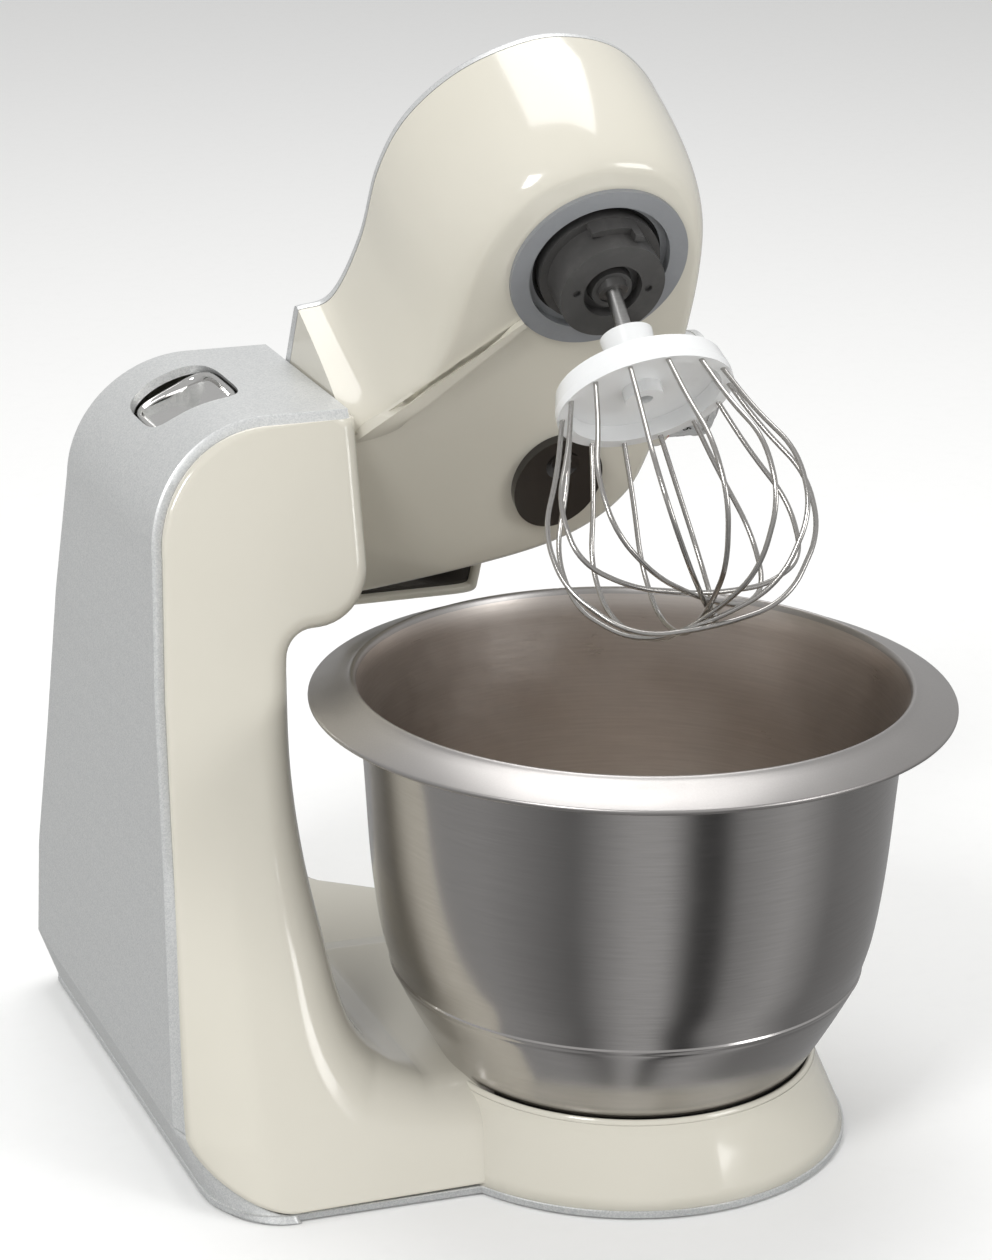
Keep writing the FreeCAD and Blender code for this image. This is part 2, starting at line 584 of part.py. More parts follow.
def build_planetary():
    pinion_angle, ring_angle = cone_angles()
    slant_in, slant_out = 30.0, 39.0
    heights = [s * math.cos(ring_angle) for s in (slant_in - 1.5, slant_out + 1.5)]
    space = toothed_cone(heights, ring_angle, RING_TEETH, 0.52, 0.85, 0.62)
    z0, z1 = CARRIER_FACE + heights[0] + 0.6, CARRIER_FACE + heights[1] - 0.6
    gear = cyl(0, 0, z0, z1, DRIVE_RING_R).cut(space)
    heights = [s * math.cos(pinion_angle) for s in (slant_in, slant_out)]
    pinion = toothed_cone(heights, pinion_angle, PINION_TEETH, 0.40, 0.62, 0.80)
    pinion = pinion.cut(cyl(0, 0, CARRIER_FACE, CARRIER_FACE + 60, 3.6))
    socket = cyl(0, 0, SOCKET_MOUTH, CARRIER_FACE + 27, 5.3)
    socket = socket.fuse(cyl(0, 0, CARRIER_FACE + 27, CARRIER_FACE + heights[1], 3.6))
    socket = socket.cut(cyl(0, 0, CARRIER_FACE - 2, CARRIER_FACE + 20.5, SHAFT_R + TINY))
    low = cyl(0, 0, CARRIER_FACE, 191, CARRIER_R).fuse(cyl(0, 0, 191, 199.5, 22.4))
    low = low.cut(cyl(0, 0, CARRIER_FACE - 1, CARRIER_FACE + 4.5, 10.8))
    low = low.fuse(cone(CARRIER_FACE + 0.8, CARRIER_FACE + 4.5, 7.4, 8.2))
    lug = block(-9, 9, -22.0, -18.8, 185, 191).fuse(block(5.5, 9, -22.0, -18.8, 181, 191))
    low = low.fuse(lug.common(cyl(0, 0, 170, 200, 22.2)))
    bridge = cyl(0, 10.0, 199.5, 221, 5.0)
    top = cyl(0, 0, 221, 225.5, 20.0).fuse(cyl(0, 0, 225.5, 226.6, 9.0)).fuse(cyl(0, 0, 226.6, 250.4, 6.0))
    tool_bore = on_tool_axis(cyl(0, 0, CARRIER_FACE - 3, CARRIER_FACE + 29, 5.37))
    carrier = low.fuse([bridge, top]).cut(tool_bore)
    for x in (-13.5, 13.5):
        carrier = carrier.cut(cyl(x, 0, CARRIER_FACE - 1, CARRIER_FACE + 1.2, 1.4))
    step_ring = ring(0, 0, 191.2, z0, DRIVE_RING_R, 26.2).fuse(ring(0, 0, 195.0, z0, 27.0, 23.8))
    return {
        "drive_ring": one_solid(step_ring),
        "drive_seal": ring(0, 0, 195.4, 198.4, 23.8, 22.7),
        "fixed_ring_gear": one_solid(gear),
        "planet_carrier": one_solid(carrier),
        "planet_pinion": on_tool_axis(one_solid(pinion)),
        "tool_socket": on_tool_axis(one_solid(socket)),
    }


# Whisk, drawn hanging from the carrier's face and then tilted
WIRE_R = 0.9
WHISK_TURNS = 7
WHISK_SIDE = ((29.3, 43.6), (36.0, 63.0), (46.2, 84.0), (44.6, 106.0))    # radius, depth
WHISK_BOTTOM = 119.0
WHISK_STAGGER = 2.1     # each loop passes this much below the one before


def rounded_path(points):
    """Straight runs joined by tangent arcs as large as the runs allow."""
    edges = []
    start = points[0]
    for before, corner, after in zip(points, points[1:], points[2:]):
        coming, going = corner - before, after - corner
        reach = 0.45 * min(coming.Length, going.Length)
        turn = coming.getAngle(going)
        first = corner - coming.normalize() * reach
        last = corner + going.normalize() * reach
        inward = ((first + last) * 0.5 - corner).normalize()
        radius = reach / math.tan(turn / 2)
        middle = corner + inward * (radius / math.cos(turn / 2) - radius)
        edges += [Part.LineSegment(start, first).toShape(), Part.Arc(first, middle, last).toShape()]
        start = last
    edges.append(Part.LineSegment(start, points[-1]).toShape())
    return Part.Wire(edges)


def whisk_loop(turn, bottom):
    """One wire loop in its own plane, from rim to rim round the bottom."""
    half = list(WHISK_SIDE) + [(27.0, bottom - 3.0)]
    outline = half + [(0, bottom)] + [(-r, s) for r, s in reversed(half)]
    path = rounded_path([Vec(r, 0, CARRIER_FACE - s) for r, s in outline])
    start = path.Edges[0]
    tangent = start.tangentAt(start.FirstParameter)
    circle = Part.makeCircle(WIRE_R, start.valueAt(start.FirstParameter), tangent)
    loop = path.makePipe(Part.Face(Part.Wire(circle)))
    loop.rotate(Vec(0, 0, CARRIER_FACE), Vec(0, 0, 1), turn)
    return loop


def build_whisk():
    f = CARRIER_FACE
    shaft = cyl(0, 0, f - 40, f - 2, SHAFT_R)
    tang = cyl(0, 0, f - 2, f + 19, SHAFT_R)
    sleeve = Part.makeCone(8.4, 9.4, 17, Vec(0, 0, f - 35))
    disc = Part.makeCone(31.4, 29.6, 6.5, Vec(0, 0, f - 41.5)).fuse(cyl(0, 0, f - 44.5, f - 41.5, 31.4))
    bell = disc.cut(Part.makeCone(27.2, 26.0, 6.0, Vec(0, 0, f - 45)))
    hub = sleeve.fuse([bell, cyl(0, 0, f - 43.5, f - 35, 7.0)])
    hub = hub.cut(cyl(0, 0, f - 60, f + 10, SHAFT_R))
    loops = []
    for k in range(WHISK_TURNS):
        loop = whisk_loop(10 + 180.0 * k / WHISK_TURNS, WHISK_BOTTOM + WHISK_STAGGER * k)
        hub = hub.cut(loop)
        loops.append(loop)
    return {
        "whisk_shaft": on_tool_axis(shaft),
        "whisk_tang": on_tool_axis(tang),
        "whisk_hub": on_tool_axis(one_solid(hub)),
        "whisk_wires": on_tool_axis(Part.makeCompound(loops)),
    }


# Knob and switch, on an axis along X
def build_knob():
    y, z = KNOB_Y, KNOB_Z
    barrel = cyl_x(KNOB_ROOT + 1.6, KNOB_ROOT + 16, y, z, KNOB_R)
    collar = ring_x(KNOB_ROOT + 16, KNOB_ROOT + 18.6, y, z, KNOB_R + 0.4, 5)
    barrel = barrel.fuse([collar, cyl_x(38, KNOB_ROOT + 18, y, z, 3.0)])
    cap = Part.makeCone(KNOB_R - 0.6, KNOB_R - 3.5, 3.0, Vec(KNOB_ROOT + 18.6, y, z), Vec(1, 0, 0))
    index = ring_x(KNOB_ROOT, KNOB_ROOT + 1.3, y, z, 21.4, 8.0)
    pointer_plan = ((KNOB_ROOT + 1.3, z - 2.5), (KNOB_ROOT + 1.3, z + 2.5), (KNOB_ROOT + 5.5, z))
    pointer = polygon_face([Vec(px, y - 21.4, pz) for px, pz in pointer_plan]).extrude(Vec(0, 1.4, 0))
    switch = block(31, 39.5, y - 12, y + 12, z - 11, z + 9.5).cut(cyl_x(30, 50, y, z, 3.06))
    return {
        "speed_knob": one_solid(barrel),
        "knob_cap": cap,
        "knob_index_ring": one_solid(index.fuse(pointer)),
        "rotary_switch": one_solid(switch),
    }


def build_covers():
    lid = cyl(0, 0, 0, 3.6, 17.0)
    stretch = FreeCAD.Matrix()
    stretch.scale(1.0, 1.22, 1.0)
    lid = lid.transformGeometry(stretch)
    lid.translate(Vec(SLICER_X, SLICER_Y, ARM_UNDER - 3.7))
    lid = lid.cut(Part.makeSphere(9.0, Vec(SLICER_X, SLICER_Y - 9, ARM_UNDER - 10)))
    skirt = ring(SLICER_X, SLICER_Y, ARM_UNDER - 0.2, ARM_UNDER + 2.4, 8.8, 7.9)
    blender = cyl(MOTOR_X, MOTOR_Y, 256.4, 263, 26.7).cut(cyl(MOTOR_X, MOTOR_Y, 250, 260.5, 24))
    return {
        "slicer_cover": one_solid(lid.fuse(skirt)),
        "blender_cover": one_solid(blender),
    }


def half_section(points):
    """Radius and height pairs as points of the XZ plane."""
    return [Vec(r, 0, z) for r, z in points]


def build_bowl():
    t = BOWL_WALL
    side = [(84.8, 66.5), (89.2, 82), (92.4, 106), (95.0, 140), (97.6, 165), (98.4, RIM_Z - 1.6)]
    side_inside = [(r - t, z) for r, z in reversed(side)]
    seat = [(0, 25.0), (58, 25.0), (63.0, 27.5), (67.1, 32.3), (84.8, 65.1), side[0]]
    flange = [side[-1], (FLANGE_R, FLANGE_Z - t), (FLANGE_R, FLANGE_Z), (RIM_R, RIM_Z), side_inside[0]]
    floor = [side_inside[-1], (84.8 - t, 65.1), (67.1 - t, 33.0), (62, 28.6), (57.5, 25.0 + t), (0, 25.0 + t), seat[0]]
    edges = lines(half_section(seat)) + [spline(half_section(side))] + lines(half_section(flange))
    edges += [spline(half_section(side_inside))] + lines(half_section(floor))
    bowl = closed_face(edges).revolve(Vec(0, 0, 0), Vec(0, 0, 1), 360)
    foot = ring(0, 0, SEAT_FLOOR + 0.3, 25.0, 57.5, 50.0)
    return {"bowl": one_solid(bowl), "bowl_foot_ring": foot}


def main():
    os.makedirs("parts", exist_ok=True)
    nodes = {}
    for group in (build_body(), build_base(), build_tower_frame(), build_bowl()):
        nodes.update(group)
    arm_groups = [build_arm_shells(), build_arm_frame(), build_motor(), build_planetary()]
    arm_groups += [build_whisk(), build_knob(), build_covers()]
    for group in arm_groups:
        nodes.update({name: raised(shape) for name, shape in group.items()})
    for name, shape in nodes.items():
        shape.exportStep("parts/" + name + ".step")
        box = shape.BoundBox
        size = "%6.1f %6.1f %6.1f" % (box.XLength, box.YLength, box.ZLength)
        print("%-20s solids %2d valid %s volume %9.0f size %s" % (
            name, len(shape.Solids), shape.isValid(), shape.Volume, size))


main()
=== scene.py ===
"""Looks of a compact stand mixer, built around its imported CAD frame.

Sizes are in millimetres in the frame's axes: the origin is where the bowl's axis
meets the worktop, +X runs from the tower to the bowl, -Y faces the user and +Z is up.
Arm pieces are shaped with the arm lowered and are then turned up about its hinge.
"""
from __future__ import annotations

import json
import logging
import math
from dataclasses import dataclass
from enum import Enum
from typing import Sequence

import bmesh
import bpy
import numpy as np
from mathutils import Matrix, Vector


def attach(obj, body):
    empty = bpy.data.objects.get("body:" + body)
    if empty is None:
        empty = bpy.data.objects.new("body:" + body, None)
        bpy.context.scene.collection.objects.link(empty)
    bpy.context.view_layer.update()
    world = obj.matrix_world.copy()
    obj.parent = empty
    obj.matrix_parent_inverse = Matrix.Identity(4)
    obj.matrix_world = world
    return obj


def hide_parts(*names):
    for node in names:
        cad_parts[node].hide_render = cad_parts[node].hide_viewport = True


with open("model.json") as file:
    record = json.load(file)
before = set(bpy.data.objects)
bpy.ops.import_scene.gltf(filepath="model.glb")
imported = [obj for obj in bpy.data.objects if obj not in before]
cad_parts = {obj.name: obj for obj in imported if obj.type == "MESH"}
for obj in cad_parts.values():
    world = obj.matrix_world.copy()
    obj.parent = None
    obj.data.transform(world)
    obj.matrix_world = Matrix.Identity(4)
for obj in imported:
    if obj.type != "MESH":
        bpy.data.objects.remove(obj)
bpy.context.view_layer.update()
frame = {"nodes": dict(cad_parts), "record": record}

LOG = logging.getLogger("stand_mixer")
MM = 0.001


# --------------------------------------------------------------------------
# Shapes as arrays of points
# --------------------------------------------------------------------------
def smooth_curve(points: Sequence[Sequence[float]], samples: int, closed: bool = False) -> np.ndarray:
    """A cubic through every given point, each span blended from its four nearest points.

    Args:
        points: The points that the shape needs, in order.
        samples: How many points the result has.
        closed: Whether the last point runs on into the first.

    Returns:
        An array of samples rows.
    """
    given = np.asarray(points, float)
    spans = len(given) if closed else len(given) - 1
    place = np.linspace(0.0, spans, samples, endpoint=not closed)
    index = np.minimum(place.astype(int), spans - 1)
    part = (place - index)[:, None]
    if closed:
        a, b, c, d = (given[(index + k) % len(given)] for k in (-1, 0, 1, 2))
    else:
        padded = np.vstack([2 * given[:1] - given[1:2], given, 2 * given[-1:] - given[-2:-1]])
        a, b, c, d = (padded[index + k] for k in range(4))
    bend = (2 * a - 5 * b + 4 * c - d) * part**2 + (3 * (b - c) + d - a) * part**3
    return b + 0.5 * ((c - a) * part + bend)


def resample(points: np.ndarray, samples: int) -> np.ndarray:
    """The same polyline with its points evenly spaced along its length."""
    steps = np.linalg.norm(np.diff(points, axis=0), axis=1)
    length = np.concatenate([[0.0], np.cumsum(steps)])
    wanted = np.linspace(0.0, length[-1], samples)
    return np.stack([np.interp(wanted, length, points[:, k]) for k in range(points.shape[1])], axis=1)


def arc(x: float, z: float, radius: float, start: float, end: float, samples: int) -> np.ndarray:
    """Points of a circle about (x, z), from the start angle to the end angle in degrees."""
    angle = np.radians(np.linspace(start, end, samples))
    return np.stack([x + radius * np.cos(angle), z + radius * np.sin(angle)], axis=1)


def turned_x(points: np.ndarray, degrees: float, y: float, z: float) -> np.ndarray:
    """The points turned about the X direction through (y, z)."""
    cosine, sine = math.cos(math.radians(degrees)), math.sin(math.radians(degrees))
    out = np.array(points, float)
    dy, dz = out[..., 1] - y, out[..., 2] - z
    out[..., 1] = y + dy * cosine - dz * sine
    out[..., 2] = z + dy * sine + dz * cosine
    return out


def revolved(profile: Sequence[Sequence[float]], samples: int) -> np.ndarray:
    """A profile of (radius, height) rows carried round the Z axis."""
    rows = np.asarray(profile, float)
    angle = np.linspace(0.0, 2 * math.pi, samples, endpoint=False)
    radius = rows[:, :1]
    height = np.repeat(rows[:, 1:2], samples, axis=1)
    return np.stack([radius * np.cos(angle), radius * np.sin(angle), height], axis=2)


def superellipse(half_x: float, half_y: float, power: float, samples: int) -> np.ndarray:
    """A rounded rectangle: |x/a|^p + |y/b|^p = 1, as rows of (x, y)."""
    angle = np.linspace(0.0, 2 * math.pi, samples, endpoint=False)
    cosine, sine = np.cos(angle), np.sin(angle)
    x = half_x * np.sign(cosine) * np.abs(cosine) ** (2 / power)
    y = half_y * np.sign(sine) * np.abs(sine) ** (2 / power)
    return np.stack([x, y], axis=1)


class Piece:
    """Collects grids of points in millimetres and makes one mesh object of them."""

    def __init__(self, name: str) -> None:
        """Starts an empty piece with the name its object will have."""
        self.name = name
        self.points: list[np.ndarray] = []
        self.faces: list[np.ndarray] = []
        self.total = 0

    def grid(self, points: np.ndarray, wrap: bool = False) -> "Piece":
        """Adds a sheet of four-sided faces.

        Args:
            points: Rows by columns by three coordinates.
            wrap: Whether the last column joins the first.

        Returns:
            The piece itself.
        """
        rows, columns = points.shape[:2]
        across = np.arange(columns if wrap else columns - 1)
        along = np.arange(rows - 1)[:, None]
        after = (across + 1) % columns
        corners = [along * columns + across, along * columns + after,
                   (along + 1) * columns + after, (along + 1) * columns + across]
        self.faces.append(np.stack(corners, axis=2).reshape(-1, 4) + self.total)
        self.points.append(points.reshape(-1, 3))
        self.total += rows * columns
        return self

    def tube(self, rings: np.ndarray) -> "Piece":
        """Adds a closed form: rings of points, with both ends drawn together to their centres."""
        first = np.repeat(rings[:1].mean(axis=1, keepdims=True), rings.shape[1], axis=1)
        last = np.repeat(rings[-1:].mean(axis=1, keepdims=True), rings.shape[1], axis=1)
        return self.grid(np.concatenate([first, rings, last]), wrap=True)

    def build(self, crease: float = 32.0) -> bpy.types.Object:
        """Makes the object, merges doubled points and turns the faces outwards.

        Args:
            crease: Edges that turn by more than this many degrees stay crisp.

        Returns:
            The new object, at the origin with its place in its mesh.
        """
        mesh = bpy.data.meshes.new(self.name)
        mesh.from_pydata((np.concatenate(self.points) * MM).tolist(), [], np.concatenate(self.faces).tolist())
        work = bmesh.new()
        work.from_mesh(mesh)
        bmesh.ops.remove_doubles(work, verts=work.verts, dist=2e-6)
        bmesh.ops.dissolve_degenerate(work, edges=work.edges, dist=1e-6)
        bmesh.ops.recalc_face_normals(work, faces=work.faces)
        work.to_mesh(mesh)
        work.free()
        return dressed(mesh, crease)


def dressed(mesh: bpy.types.Mesh, crease: float) -> bpy.types.Object:
    """An object for the mesh, smooth except where its faces turn sharply."""
    mesh.polygons.foreach_set("use_smooth", [True] * len(mesh.polygons))
    mesh.set_sharp_from_angle(angle=math.radians(crease))
    piece = bpy.data.objects.new(mesh.name, mesh)
    bpy.context.scene.collection.objects.link(piece)
    return piece


def thicken(piece: bpy.types.Object, wall: float) -> None:
    """Gives a sheet its wall, in millimetres, on the inner side."""
    solidify = piece.modifiers.new("wall", "SOLIDIFY")
    solidify.thickness = wall * MM
    solidify.offset = -1.0
    solidify.use_even_offset = False


def baked(piece: bpy.types.Object) -> None:
    """Replaces the object's mesh by what its modifiers make of it."""
    graph = bpy.context.evaluated_depsgraph_get()
    mesh = bpy.data.meshes.new_from_object(piece.evaluated_get(graph))
    mesh.name = piece.name
    piece.modifiers.clear()
    piece.data = mesh


def cut_out(piece: bpy.types.Object, cutter: bpy.types.Object) -> None:
    """Takes the cutter's volume out of the piece and removes the cutter."""
    boolean = piece.modifiers.new("opening", "BOOLEAN")
    boolean.operation = "DIFFERENCE"
    boolean.solver = "EXACT"
    boolean.object = cutter
    baked(piece)
    bpy.data.objects.remove(cutter)


def fitted(piece: bpy.types.Object, body: str, finish: "Finish", slot: str, *nodes: str) -> bpy.types.Object:
    """Gives a finished piece its finish, its body and the CAD nodes it stands for.

    Args:
        piece: The object, in place.
        body: The CAD body that it moves with.
        finish: What its surface is.
        slot: The record's material slot; not used.
        nodes: CAD nodes that the piece replaces.

    Returns:
        The same object.
    """
    piece.data.materials.clear()
    piece.data.materials.append(finish.material())
    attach(piece, body)
    if nodes:
        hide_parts(*nodes)
    LOG.info("%s: %d faces on %s", piece.name, len(piece.data.polygons), body)
    return piece


# --------------------------------------------------------------------------
# Finishes
# --------------------------------------------------------------------------
def linear(colour: str) -> tuple[float, float, float, float]:
    """A linear colour from an sRGB hex value such as #D8D5CA."""
    parts = [int(colour[k:k + 2], 16) / 255 for k in (1, 3, 5)]
    red, green, blue = (c / 12.92 if c <= 0.04045 else ((c + 0.055) / 1.055) ** 2.4 for c in parts)
    return (red, green, blue, 1.0)


def per_metre(size: float) -> float:
    """The texture scale that gives a pattern of this size in millimetres."""
    return 1.0 / (size * MM)


def add_node(tree: bpy.types.NodeTree, kind: str, inputs: dict | None = None, **settings: object) -> bpy.types.Node:
    """Adds one shader node.

    Args:
        tree: The node tree.
        kind: Blender's name for the node.
        inputs: Socket name or number to a value, or to the output that feeds it.
        settings: The node's own properties.

    Returns:
        The node.
    """
    node = tree.nodes.new(kind)
    for key, value in settings.items():
        setattr(node, key, value)
    for socket, value in (inputs or {}).items():
        if isinstance(value, bpy.types.NodeSocket):
            tree.links.new(value, node.inputs[socket])
        else:
            node.inputs[socket].default_value = value
    return node


@dataclass(frozen=True)
class Finish:
    """What every finish has: a name, a base colour and a roughness."""

    name: str
    colour: str
    roughness: float

    def material(self) -> bpy.types.Material:
        """The finish's material, made once."""
        known = bpy.data.materials.get(self.name)
        if known:
            return known
        material = bpy.data.materials.new(self.name)
        material.use_nodes = True
        tree = material.node_tree
        tree.nodes.clear()
        shader = add_node(tree, "ShaderNodeBsdfPrincipled", {"Base Color": linear(self.colour),
                                                            "Roughness": self.roughness})
        add_node(tree, "ShaderNodeOutputMaterial", {"Surface": shader.outputs[0]})
        place = add_node(tree, "ShaderNodeTexCoord").outputs["Object"]
        self.detail(tree, shader, place)
        material.diffuse_color = linear(self.colour)
        return material

    def detail(self, tree: bpy.types.NodeTree, shader: bpy.types.Node, place: bpy.types.NodeSocket) -> None:
        """Adds what makes the surface more than one colour. Each finish has its own."""


@dataclass(frozen=True)
class GlossMoulding(Finish):
    """Injection-moulded ABS from a polished tool.

    It gives the eye sharp highlights that waver slightly where the wall has sunk,
    a faint drift of tone, and fine haze where cloths have rubbed it.
    """

    second: str = "#D2CEC0"
    ripple: float = 0.05
    drift_mm: float = 90.0
    sink_mm: float = 14.0
    haze_mm: float = 3.0

    def detail(self, tree: bpy.types.NodeTree, shader: bpy.types.Node, place: bpy.types.NodeSocket) -> None:
        """Tone drift, rubbed haze and sink ripple."""
        drift = add_node(tree, "ShaderNodeTexNoise", {"Vector": place, "Scale": per_metre(self.drift_mm),
                                                     "Detail": 2.0})
        tone = add_node(tree, "ShaderNodeMix", {"Factor": drift.outputs["Fac"], "A": linear(self.colour),
                                               "B": linear(self.second)}, data_type="RGBA")
        tree.links.new(tone.outputs["Result"], shader.inputs["Base Color"])
        haze = add_node(tree, "ShaderNodeTexNoise", {"Vector": place, "Scale": per_metre(self.haze_mm),
                                                    "Detail": 4.0})
        rough = add_node(tree, "ShaderNodeMapRange", {"Value": haze.outputs["Fac"], "From Min": 0.3,
                                                     "From Max": 0.8, "To Min": self.roughness,
                                                     "To Max": self.roughness + 0.08})
        tree.links.new(rough.outputs["Result"], shader.inputs["Roughness"])
        sink = add_node(tree, "ShaderNodeTexNoise", {"Vector": place, "Scale": per_metre(self.sink_mm),
                                                    "Detail": 1.0})
        bump = add_node(tree, "ShaderNodeBump", {"Height": sink.outputs["Fac"], "Strength": self.ripple,
                                                "Distance": 0.3 * MM})
        tree.links.new(bump.outputs["Normal"], shader.inputs["Normal"])
        shader.inputs["Coat Weight"].default_value = 0.35
        shader.inputs["Coat Roughness"].default_value = 0.04
        shader.inputs["IOR"].default_value = 1.53


@dataclass(frozen=True)
class FlakePaint(Finish):
    """Silver metal-flake lacquer sprayed on ABS.

    It gives the eye a satin silver with a fine sparkle of flakes. The real flake
    is about 0.05 mm, too fine to show, so it is drawn at 0.45 mm.
    """

    flake_mm: float = 0.45
    dark: str = "#CDCFCF"
    metallic: float = 0.55

    def detail(self, tree: bpy.types.NodeTree, shader: bpy.types.Node, place: bpy.types.NodeSocket) -> None:
        """Flakes that differ in brightness and tilt, over a slow drift of roughness."""
        flake = add_node(tree, "ShaderNodeTexVoronoi", {"Vector": place, "Scale": per_metre(self.flake_mm)})
        split = add_node(tree, "ShaderNodeSeparateColor", {"Color": flake.outputs["Color"]})
        tone = add_node(tree, "ShaderNodeMix", {"Factor": split.outputs["Red"], "A": linear(self.dark),
                                               "B": linear(self.colour)}, data_type="RGBA")
        tree.links.new(tone.outputs["Result"], shader.inputs["Base Color"])
        rough = add_node(tree, "ShaderNodeMapRange", {"Value": split.outputs["Green"],
                                                     "To Min": self.roughness - 0.06,
                                                     "To Max": self.roughness + 0.08})
        tree.links.new(rough.outputs["Result"], shader.inputs["Roughness"])
        bump = add_node(tree, "ShaderNodeBump", {"Height": split.outputs["Blue"], "Strength": 0.04,
                                                "Distance": 0.02 * MM})
        tree.links.new(bump.outputs["Normal"], shader.inputs["Normal"])
        shader.inputs["Metallic"].default_value = self.metallic
        shader.inputs["Coat Weight"].default_value = 0.12
        shader.inputs["Coat Roughness"].default_value = 0.25


class Lay(Enum):
    """Which way a metal's brush marks run, as pattern stretch along X, Y and Z."""

    ROUND = (0.04, 0.04, 1.0)
    NONE = (1.0, 1.0, 1.0)


@dataclass(frozen=True)
class WorkedMetal(Finish):
    """Bare metal with the marks of how it was worked: brushed, spun or ground.

    It gives the eye soft streaks along the marks and patches where handling has
    smoothed them. Real brush marks are near 0.1 mm apart, so they are drawn coarser.
    """

    lay: Lay = Lay.ROUND
    mark_mm: float = 0.9
    contrast: float = 0.12
    second: str = "#8E8B88"
    depth: float = 0.10
    patch_mm: float = 26.0

    def detail(self, tree: bpy.types.NodeTree, shader: bpy.types.Node, place: bpy.types.NodeSocket) -> None:
        """Streaks in tone, roughness and height, all from one stretched noise."""
        stretched = add_node(tree, "ShaderNodeMapping", {"Vector": place, "Scale": self.lay.value})
        marks = add_node(tree, "ShaderNodeTexNoise", {"Vector": stretched.outputs[0],
                                                     "Scale": per_metre(self.mark_mm), "Detail": 5.0,
                                                     "Roughness": 0.62})
        patches = add_node(tree, "ShaderNodeTexNoise", {"Vector": place, "Scale": per_metre(self.patch_mm),
                                                       "Detail": 2.0})
        tone = add_node(tree, "ShaderNodeMix", {"Factor": marks.outputs["Fac"], "A": linear(self.colour),
                                               "B": linear(self.second)}, data_type="RGBA")
        tree.links.new(tone.outputs["Result"], shader.inputs["Base Color"])
        mixed = add_node(tree, "ShaderNodeMath", {0: marks.outputs["Fac"], 1: patches.outputs["Fac"]},
                         operation="MULTIPLY")
        rough = add_node(tree, "ShaderNodeMapRange", {"Value": mixed.outputs[0], "From Min": 0.1, "From Max": 0.45,
                                                     "To Min": self.roughness,
                                                     "To Max": self.roughness + self.contrast})
        tree.links.new(rough.outputs["Result"], shader.inputs["Roughness"])
        bump = add_node(tree, "ShaderNodeBump", {"Height": marks.outputs["Fac"], "Strength": self.depth,
                                                "Distance": 0.04 * MM})
        tree.links.new(bump.outputs["Normal"], shader.inputs["Normal"])
        shader.inputs["Metallic"].default_value = 1.0


@dataclass(frozen=True)
class TexturedMoulding(Finish):
    """Moulded plastic or rubber from a tool with a fine spark-eroded grain.

    It gives the eye an even satin, broken by a grain too fine to count and by
    paler scuffs on what is handled. The 0.1 mm grain is drawn at 0.5 mm.
    """

    grain_mm: float = 0.5
    depth: float = 0.18
    scuff: str = "#6A6A6A"
    scuff_mm: float = 11.0
    specular: float = 0.5

    def detail(self, tree: bpy.types.NodeTree, shader: bpy.types.Node, place: bpy.types.NodeSocket) -> None:
        """Grain in height and faint scuffs in tone."""
        grain = add_node(tree, "ShaderNodeTexNoise", {"Vector": place, "Scale": per_metre(self.grain_mm),
                                                     "Detail": 3.0})
        scuffs = add_node(tree, "ShaderNodeTexNoise", {"Vector": place, "Scale": per_metre(self.scuff_mm),
                                                      "Detail": 6.0, "Roughness": 0.7})
        share = add_node(tree, "ShaderNodeMapRange", {"Value": scuffs.outputs["Fac"], "From Min": 0.5,
                                                     "From Max": 0.85, "To Min": 0.0, "To Max": 0.35})
        tone = add_node(tree, "ShaderNodeMix", {"Factor": share.outputs["Result"], "A": linear(self.colour),
                                               "B": linear(self.scuff)}, data_type="RGBA")
        tree.links.new(tone.outputs["Result"], shader.inputs["Base Color"])
        rough = add_node(tree, "ShaderNodeMapRange", {"Value": grain.outputs["Fac"],
                                                     "To Min": self.roughness - 0.07,
                                                     "To Max": self.roughness + 0.07})
        tree.links.new(rough.outputs["Result"], shader.inputs["Roughness"])
        bump = add_node(tree, "ShaderNodeBump", {"Height": grain.outputs["Fac"], "Strength": self.depth,
                                                "Distance": 0.05 * MM})
        tree.links.new(bump.outputs["Normal"], shader.inputs["Normal"])
        shader.inputs["Specular IOR Level"].default_value = self.specular


@dataclass(frozen=True)
class WoundLayers(Finish):
    """Stacked or wound material: enamelled wire or pressed steel sheets.

    It gives the eye close parallel lines. The pitch is the wire's or the sheet's
    own thickness.
    """

    pitch_mm: float = 0.8
    metallic: float = 0.8
    groove: str = "#3A1E10"

    def detail(self, tree: bpy.types.NodeTree, shader: bpy.types.Node, place: bpy.types.NodeSocket) -> None:
        """Bands across the stack, slightly wavering."""
        bands = add_node(tree, "ShaderNodeTexWave", {"Vector": place, "Scale": per_metre(self.pitch_mm) / 20.0,
                                                    "Distortion": 0.6, "Detail": 1.0},
                         bands_direction="Z")
        tone = add_node(tree, "ShaderNodeMix", {"Factor": bands.outputs["Fac"], "A": linear(self.groove),
                                               "B": linear(self.colour)}, data_type="RGBA")
        tree.links.new(tone.outputs["Result"], shader.inputs["Base Color"])
        bump = add_node(tree, "ShaderNodeBump", {"Height": bands.outputs["Fac"], "Strength": 0.5,
                                                "Distance": 0.2 * MM})
        tree.links.new(bump.outputs["Normal"], shader.inputs["Normal"])
        shader.inputs["Metallic"].default_value = self.metallic


